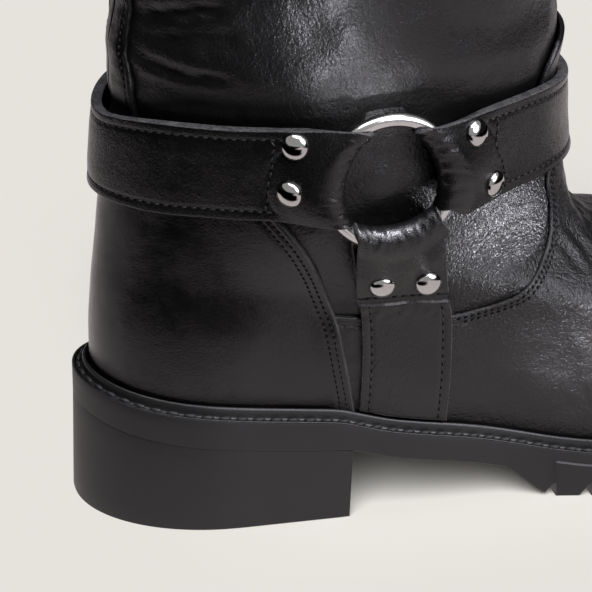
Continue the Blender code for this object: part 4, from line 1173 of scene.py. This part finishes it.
def buildRivet(node, skin, nudge):
    spots = np.array([v.co for v in frame["nodes"][node].data.vertices])
    centre = (spots.min(0) + spots.max(0)) / 2
    seat, out = seatOn(skin, centre / mm + (bootForm["originX"] + nudge[0], 0, nudge[1]))
    foot = toMetres(seat - out * rivets["sink"])
    shape = bmesh.new()
    r, h, lip = rivets["radius"], rivets["height"], rivets["lip"]
    profile = [(r * math.sin(a), lip + (h - lip) * math.cos(a)) for a in np.linspace(0, np.pi / 2, 11)]
    profile += [(r - inset, z) for inset, z in rivets["foot"]]
    verts = [shape.verts.new((a * mm, 0, b * mm)) for a, b in profile]
    for a, b in zip(verts, verts[1:]):
        shape.edges.new((a, b))
    spinRound(shape, (0, 0, 1), rivets["steps"])
    bmesh.ops.remove_doubles(shape, verts=shape.verts, dist=0.000005)
    bmesh.ops.holes_fill(shape, edges=[e for e in shape.edges if e.is_boundary], sides=0)
    facing = Vector(out).to_track_quat("Z", "Y").to_matrix().to_4x4()
    bmesh.ops.transform(shape, matrix=Matrix.Translation(Vector(foot)) @ facing, verts=shape.verts)
    finishPiece(node.replace("stud", "rivet"), shape, ("rivetChrome",), [node], sharp=rivets["sharp"])


skins = {"heel": buildHeelStrap(), "instep": buildInstepStrap()}
for side in (-1, 1):
    skins["down"] = buildDownStrap(side)
    buildRing(side)
    for word, nudge in rivets["nudges"].items():
        buildRivet("stud_%s_%s" % (word, sideWord(side)), skins[word.split("_")[0]], nudge)
print("harness hung")

# sole: rings round the foot of the upper, pushed out level, and the tread's height along the boot
sole = {
    "edge": 7.0, "rimDepth": 1.7, "stations": 600, "seatThick": 9.0, "waistThick": 8.0, "waist": (60.0, 20.0),
    "cleatStart": 121.0,
    "treadLine": [(121.0, 10.4), (132.0, 1.3), (136.0, 0.0), (205.0, 0.0), (230.0, 2.2), (255.0, 6.2),
                  (283.0, 12.4)],
}


def footRing(offset, count):
    # stations round the foot of the upper, evenly spaced, pushed out level by the offset
    base = formPoint(0.0, np.linspace(-1, 1, 2401))[:, :2]
    base = evenly(base, count + 1)[:-1]
    run = np.roll(base, -1, 0) - np.roll(base, 1, 0)
    out = unit(np.stack((run[:, 1], -run[:, 0]), 1))
    out *= np.sign((out * (base - base.mean(0))).sum())
    push = offset(base[:, 0]) if callable(offset) else np.full(len(base), offset)
    return base + out * push[:, None]


def levelRing(offset, level):
    flat = footRing(offset, sole["stations"])
    return np.column_stack((flat, level(flat[:, 0])))


def treadZ(x):
    start, span = sole["waist"]
    base = rimZ(x) - mix(sole["seatThick"], sole["waistThick"], ease((x - start) / span))
    return np.where(x < sole["cleatStart"], base, np.minimum(base, np.maximum(alongLine(sole["treadLine"], x), 0)))


def ringPiece(rings, closed=False):
    # closed stations round the boot, one ring above the other
    rings = np.array(rings)
    if closed:
        rings = np.concatenate((rings, rings[:1]))
    rings = np.concatenate((rings, rings[:, :1]), 1)
    rows, stations = rings.shape[0] - 1, rings.shape[1] - 1
    return gridShape(stations, rows, lambda u, w: rings[np.round(w * rows).astype(int),
                                                        np.round(u * stations).astype(int)])


def closeHoles(shape):
    caps = bmesh.ops.holes_fill(shape, edges=[e for e in shape.edges if e.is_boundary], sides=0)["faces"]
    bmesh.ops.triangulate(shape, faces=caps)
    bmesh.ops.recalc_face_normals(shape, faces=shape.faces)


weltStrip = {
    "gap": 0.35, "threadOut": 5.1, "threadUp": 1.2,
    # offset from the upper's foot and height over the rim's shelf, round the welt's section
    "section": [(2.1, 0.0), (2.6, 2.2), (2.9, 3.8), (3.05, 4.2), (3.4, 4.45), (3.75, 4.2), (3.95, 3.7), (4.0, 2.7),
                (4.05, 1.7), (4.2, 1.2), (4.7, 1.0), (5.3, 1.2), (5.7, 1.3), (5.84, 1.1), (5.85, 0.6), (5.85, 0.0)],
}


def buildWelt():
    shelf = weltStrip["gap"] - sole["rimDepth"]
    rings = [levelRing(offset, lambda x, up=up: rimZ(x) + shelf + up) for offset, up in weltStrip["section"]]
    finishPiece("weltStrip", ringPiece(rings, True), ("weltLeather",), ["welt"])
    line = levelRing(weltStrip["threadOut"], lambda x: rimZ(x) + shelf + weltStrip["threadUp"])
    line = np.concatenate((line, line[:1]))
    shape = bmesh.new()
    sew(shape, line, np.tile((0.0, 0.0, 1.0), (len(line), 1)), "welt")
    finishPiece("weltStitches", shape, ("thread",))


outsoleRubber = {
    "rimWidth": 0.8, "step": 0.5, "stepStart": 135.0, "stepRun": 3.0, "stepDrop": 3.4, "stepSlope": 0.45,
    "sideShare": 0.7, "treadRound": (0.3, 0.35), "roundFrom": (72.0, 3.0), "fillShares": (0.1, 0.3, 0.55, 0.8, 0.93),
    "cleats": 12, "firstNotch": 134.4, "pitch": 10.2, "notchDepth": 4.2, "notchWidth": 4.0, "notchBack": 0.65,
    "notchLean": 0.7, "notchFoot": 0.3, "notchReach": 23.5, "notchOut": 70.0, "channelWall": 3.0,
    "channel": 9.0, "channelEnds": (150.0, 243.0), "channelCuts": 12, "channelTaper": 1.0, "channelShallow": 0.7,
    "cutterDrop": 6.0, "edgeFrom": 100.0, "sharp": 32,
}


def sidePush(x):
    o = outsoleRubber
    return sole["edge"] + o["step"] * ease((x - o["stepStart"]) / o["stepRun"])


def gather(ring, share, level):
    # a ring drawn in towards the boot's middle line
    y = mix(ring[:, 1], alongLine(bootForm["centreLine"], ring[:, 0]), share)
    return np.column_stack((ring[:, 0], y, level(ring[:, 0])))


def outsoleBody():
    o, edge = outsoleRubber, sole["edge"]
    inner = edge - o["rimWidth"]
    roundIn, roundUp = o["treadRound"]
    roundStart, roundRun = o["roundFrom"]

    def under(drop):
        return lambda x: rimZ(x) - drop

    # offset and height of each ring: the rim's lip, the stepped side and the tread's edge
    profile = [(inner, under(sole["rimDepth"])), (inner, under(0.35)), (inner + 0.1, under(0.1)),
               (inner + 0.3, rimZ), (edge - 0.28, rimZ), (edge - 0.08, under(0.1)), (edge, under(0.35)),
               (edge, under(o["stepDrop"])), (sidePush, lambda x: rimZ(x) - o["stepDrop"] - o["stepSlope"]),
               (sidePush, lambda x: mix(rimZ(x), treadZ(x), o["sideShare"])),
               (sidePush, lambda x: treadZ(x) + roundUp),
               (lambda x: sidePush(x) - roundIn * ease((x - roundStart) / roundRun), treadZ)]
    rings = [levelRing(offset, level) for offset, level in profile]
    top = [gather(rings[0], share, profile[0][1]) for share in o["fillShares"][::-1]]
    bottom = [gather(rings[-1], share, treadZ) for share in o["fillShares"]]
    shape = ringPiece(top + rings + bottom)
    closeHoles(shape)
    return shape


def edgeOf(side):
    ring = footRing(sole["edge"], sole["stations"])
    keep = ring[(ring[:, 1] * side > 0) & (ring[:, 0] > outsoleRubber["edgeFrom"])]
    return keep[np.argsort(keep[:, 0])]


def addNotch(cutter, x, side):
    # wedge between two cleats, reaching in from the edge
    o, tread = outsoleRubber, float(treadZ(x))
    edge = abs(float(np.interp(x, *edgeOf(side).T)))
    inner = edge - min(o["notchReach"], edge - o["channel"] / 2 - o["channelWall"])
    back, ahead = x - o["notchWidth"] * o["notchBack"], x + o["notchWidth"] * (1 - o["notchBack"])
    for vert in bmesh.ops.create_cube(cutter, size=1.0)["verts"]:
        front, outer, upper = vert.co.x > 0, vert.co.y > 0, vert.co.z > 0
        px = ahead if front else (ahead - o["notchLean"] if upper else back)
        low = tread - (o["cutterDrop"] if front else o["notchFoot"])
        vert.co = toMetres((px, side * (o["notchOut"] if outer else inner), tread + o["notchDepth"] if upper else low))


def addChannel(cutter):
    # groove along the middle of the forefoot, following the boot's middle line
    o = outsoleRubber
    block = bmesh.ops.create_cube(cutter, size=1.0)["verts"]
    lengths = [e for e in {e for v in block for e in v.link_edges}
               if abs(e.verts[0].co.x - e.verts[1].co.x) > 0.5]
    bmesh.ops.subdivide_edges(cutter, edges=lengths, cuts=o["channelCuts"], use_grid_fill=True)
    for vert in [v for v in cutter.verts if abs(v.co.z) > 0.4]:  # the notches are already in metres, far smaller
        x = mix(*o["channelEnds"], vert.co.x + 0.5)
        upper = vert.co.z > 0
        half = o["channel"] / 2 - (o["channelTaper"] if upper else 0.0)
        y = float(alongLine(bootForm["centreLine"], x)) + math.copysign(half, vert.co.y)
        rise = o["notchDepth"] - o["channelShallow"] if upper else -o["cutterDrop"]
        vert.co = toMetres((x, y, float(treadZ(x)) + rise))


def buildOutsole():
    o, cutter = outsoleRubber, bmesh.new()
    for k in range(o["cleats"]):
        for side in (-1, 1):
            addNotch(cutter, o["firstNotch"] + k * o["pitch"], side)
    addChannel(cutter)
    bmesh.ops.recalc_face_normals(cutter, faces=cutter.faces)
    blanks = []
    for word, shape in (("outsole", outsoleBody()), ("treadCutter", cutter)):
        mesh = bpy.data.meshes.new(word)
        shape.to_mesh(mesh)
        shape.free()
        blanks.append(bpy.data.objects.new(word, mesh))
        bpy.context.scene.collection.objects.link(blanks[-1])
    cut = blanks[0].modifiers.new("cleats", "BOOLEAN")
    cut.operation, cut.solver, cut.object = "DIFFERENCE", "EXACT", blanks[1]
    bpy.context.view_layer.update()
    done = bmesh.new()
    done.from_object(blanks[0], bpy.context.evaluated_depsgraph_get())
    for blank in blanks:
        bpy.data.objects.remove(blank)
    finishPiece("outsoleRubber", done, ("soleRubber",), ["outsole"], sharp=o["sharp"])


heelBlock = {
    "breast": 73.7, "breastLean": 1.1, "flare": 0.8, "centre": 38.0, "stations": 400, "breastSteps": 42,
    "seatGap": 0.02, "sharp": 40,
    # rings from the seat to the ground: shares drawn in to the middle, and levels with a softened edge
    "seatShares": (0.9, 0.6, 0.006), "softTop": (0.004, 0.002), "levels": (0.02, 0.2, 0.5, 0.8, 0.975),
    "softFoot": (0.993, 0.004), "baseShares": (0.015, 0.6, 0.9),
}


def buildHeel():
    h, centre = heelBlock, heelBlock["centre"]
    ring = footRing(sole["edge"], h["stations"])
    ring = ring[ring[:, 0] < h["breast"] - 1]
    ring = ring[np.argsort(np.arctan2(ring[:, 1], -(ring[:, 0] - centre)))]

    def block(push, breast, level):
        out = unit(np.column_stack((np.minimum(ring[:, 0] - centre, 0), ring[:, 1])))
        curve = ring + out * push
        front = np.linspace(curve[-1], curve[0], h["breastSteps"])[1:-1]
        front[:, 0] = breast
        curve[0, 0] = curve[-1, 0] = breast
        flat = np.concatenate((curve, front))
        return np.column_stack((flat, level(flat[:, 0])))

    seat = block(0.0, h["breast"] + h["breastLean"], lambda x: treadZ(x) - h["seatGap"])
    base = block(h["flare"], h["breast"], np.zeros_like)

    def drawn(points, share):
        return np.column_stack((mix(points[:, :2], np.array((centre, 0.0)), share), points[:, 2]))

    def soft(level, share):
        return drawn(mix(seat, base, level), share)

    rings = [drawn(seat, s) for s in h["seatShares"]] + [soft(*h["softTop"])]
    rings += [mix(seat, base, t) for t in h["levels"]] + [soft(*h["softFoot"])]
    rings += [drawn(base, s) for s in h["baseShares"]]
    shape = ringPiece(rings)
    closeHoles(shape)
    finishPiece("heelBlock", shape, ("soleRubber",), ["heel"], sharp=h["sharp"])


buildWelt()
buildOutsole()
buildHeel()
frame["nodes"]["insole"].data.materials.clear()
frame["nodes"]["insole"].data.materials.append(finishes["liningLeather"])
print("sole set")

# floor, light and camera
studio = {
    "floor": (0.7913, 0.7682, 0.7230), "floorSpeck": 0.995, "size": 6.0,
    "shade": ((-0.03, 0.05), (0.25, 0.40), (-0.085, -0.05), (0.03, 0.24)),  # where the floor takes the shadow
    # the boot mirrors a card on the floor, with a dark room beyond its flags
    "card": (0.815, 0.740, 0.748), "cardZ": -0.002, "flag": (-0.170, -0.125), "flagSlant": 0.56,
    "frontFlag": (0.0, 0.08), "backFlag": (-0.60, -0.48), "sideFlag": (-0.32, -0.20), "farFlag": (0.45, 0.60),
    # azimuth, elevation, angle across and strength of each soft light, and what it falls on
    "lights": [(-14.5, 48.0, 54.0, 4.25, "floor"), (35.0, 36.0, 45.0, 3.2, "boot"), (0.0, 80.0, 55.0, 3.0, "boot"),
               (-14.5, 60.0, 140.0, 1.3, "metal")],
    # small lamps for the sheen on one piece each: place, aim, power, radius and cone
    "lamps": {"quarter": ("upperShell", (0.200, -0.085, 0.006), (0.100, -0.032, 0.072), 2.35, 0.010, 20.5),
              "shaftHigh": ("upperShell", (0.020, -0.375, 0.030), (0.016, -0.042, 0.159), 2.6, 0.008, 7.0),
              "shaftMiddle": ("upperShell", (0.024, -0.375, 0.030), (0.027, -0.044, 0.148), 3.4, 0.008, 6.5),
              "shaftLow": ("upperShell", (0.072, -0.140, 0.010), (0.039, -0.045, 0.139), 0.42, 0.008, 13.0),
              "fold": ("downStrapLateral", (0.158, -0.250, 0.422), (0.047, -0.050, 0.095), 12.0, 0.02, 7.0),
              "vamp": ("vampPanel", (0.128, -0.337, 0.024), (0.118, -0.039, 0.056), 9.5, 0.02, 10.0)},
    "cool": (0.97, 0.965, 1.05), "room": 0.012,
    "camera": (-0.161215, -0.743038, 0.413095), "target": (0.020322, -0.041086, 0.075), "lens": 176.1,
    "sensor": 36.0,
}


def stagePlane(name, level, made):
    shape = bmesh.new()
    bmesh.ops.create_grid(shape, x_segments=8, y_segments=8, size=studio["size"])
    bmesh.ops.translate(shape, vec=(0.0, 0.0, level), verts=shape.verts)
    mesh = bpy.data.meshes.new(name)
    shape.to_mesh(mesh)
    shape.free()
    mesh.materials.append(made)
    plane = bpy.data.objects.new(name, mesh)
    bpy.context.scene.collection.objects.link(plane)
    return plane


def glowing(wire, colour):
    return wire.node("ShaderNodeBsdfPrincipled", None, {"Base Color": (0.0, 0.0, 0.0, 1.0), "Specular IOR Level": 0.0,
                                                        "Emission Color": colour, "Emission Strength": 1.0})


def buildFloor():
    # an even tone that is lit, and so shaded, only round the boot
    made, wire, place = startMaterial("paleFloor")
    x, y = place.axis(0), place.axis(1)
    tone = noise(wire, place, 3.0, 2.0).blend(studio["floor"], [c * studio["floorSpeck"] for c in studio["floor"]])
    back, front, low, high = studio["shade"]
    shade = x.between(*back) * (1 - x.between(*front)) * y.between(*low) * (1 - y.between(*high))
    lit = wire.node("ShaderNodeBsdfPrincipled", None,
                    {"Base Color": tone, "Roughness": 0.9, "Specular IOR Level": 0.0})
    mixed = wire.node("ShaderNodeMixShader", None, {0: shade, 1: glowing(wire, tone), 2: lit})
    wire.node("ShaderNodeOutputMaterial", None, {"Surface": mixed})
    floor = stagePlane("paleFloor", 0.0, made)
    floor.visible_diffuse = floor.visible_glossy = floor.visible_transmission = False
    return floor


def buildCard():
    # what the boot mirrors in place of the floor
    made, wire, place = startMaterial("floorCard")
    x, y = place.axis(0), place.axis(1)
    slanted = (y + x * studio["flagSlant"]).between(*studio["flag"])
    near = wire.maths("MAXIMUM", slanted, x.between(*studio["frontFlag"]))
    near = wire.maths("MAXIMUM", near, 1 - y.between(*studio["backFlag"])) * x.between(*studio["sideFlag"])
    near = near * (1 - x.between(*studio["farFlag"]))
    wire.node("ShaderNodeOutputMaterial", None,
              {"Surface": glowing(wire, near.blend((0.0, 0.0, 0.0), studio["card"]))})
    card = stagePlane("floorCard", studio["cardZ"], made)
    card.visible_camera = card.visible_shadow = False


def buildRoom():
    world = bpy.data.worlds.new("softRoom")
    world.use_nodes = True
    world.node_tree.nodes.clear()
    wire = Wire(world.node_tree)
    room = wire.node("ShaderNodeBackground", None, {"Color": (*[studio["room"]] * 3, 1.0), "Strength": 1.0})
    wire.node("ShaderNodeOutputWorld", None, {"Surface": room})
    bpy.context.scene.world = world


def aimAt(holder, place, aim):
    holder.location = place
    holder.rotation_euler = (Vector(aim) - Vector(place)).to_track_quat("-Z", "Y").to_euler()
    bpy.context.scene.collection.objects.link(holder)


def addLamp(name, kind, energy, place, aim, pieces, state="INCLUDE"):
    lamp = bpy.data.lights.new(name, kind)
    lamp.energy = energy
    holder = bpy.data.objects.new(name, lamp)
    holder.visible_camera = False
    aimAt(holder, place, aim)
    lit = bpy.data.collections.new(name)
    for piece in pieces:
        lit.objects.link(piece)
    for member in lit.collection_objects:
        member.light_linking.link_state = state
    holder.light_linking.receiver_collection = lit
    return lamp


def hangLights(floor):
    metal = [piece for piece in bpy.data.objects if piece.name.startswith(("ring", "rivet"))
             and piece.type == "MESH" and piece.name not in frame["nodes"]]
    for k, (azimuth, elevation, angle, strength, reach) in enumerate(studio["lights"]):
        a, e = math.radians(azimuth), math.radians(elevation)
        back = Vector((math.sin(a) * math.cos(e), -math.cos(a) * math.cos(e), math.sin(e)))
        lamp = addLamp("softLight%d" % k, "SUN", strength, back * 2, (0.0, 0.0, 0.0),
                       metal if reach == "metal" else [floor], "EXCLUDE" if reach == "boot" else "INCLUDE")
        lamp.angle = math.radians(angle)
        if reach == "boot":
            lamp.color = studio["cool"]
    for name, (piece, place, aim, power, radius, cone) in studio["lamps"].items():
        lamp = addLamp(name + "Lamp", "SPOT", power, place, aim, [bpy.data.objects[piece]])
        lamp.shadow_soft_size, lamp.spot_size, lamp.spot_blend = radius, math.radians(cone), 1.0
        lamp.color = studio["cool"]


def setCamera():
    camera = bpy.data.objects.new("camera", bpy.data.cameras.new("camera"))
    camera.data.lens, camera.data.sensor_width = studio["lens"], studio["sensor"]
    aimAt(camera, studio["camera"], studio["target"])
    bpy.context.scene.camera = camera
    bpy.context.scene.view_settings.view_transform = "Standard"


paleFloor = buildFloor()
buildCard()
buildRoom()
hangLights(paleFloor)
setCamera()
print("studio lit")
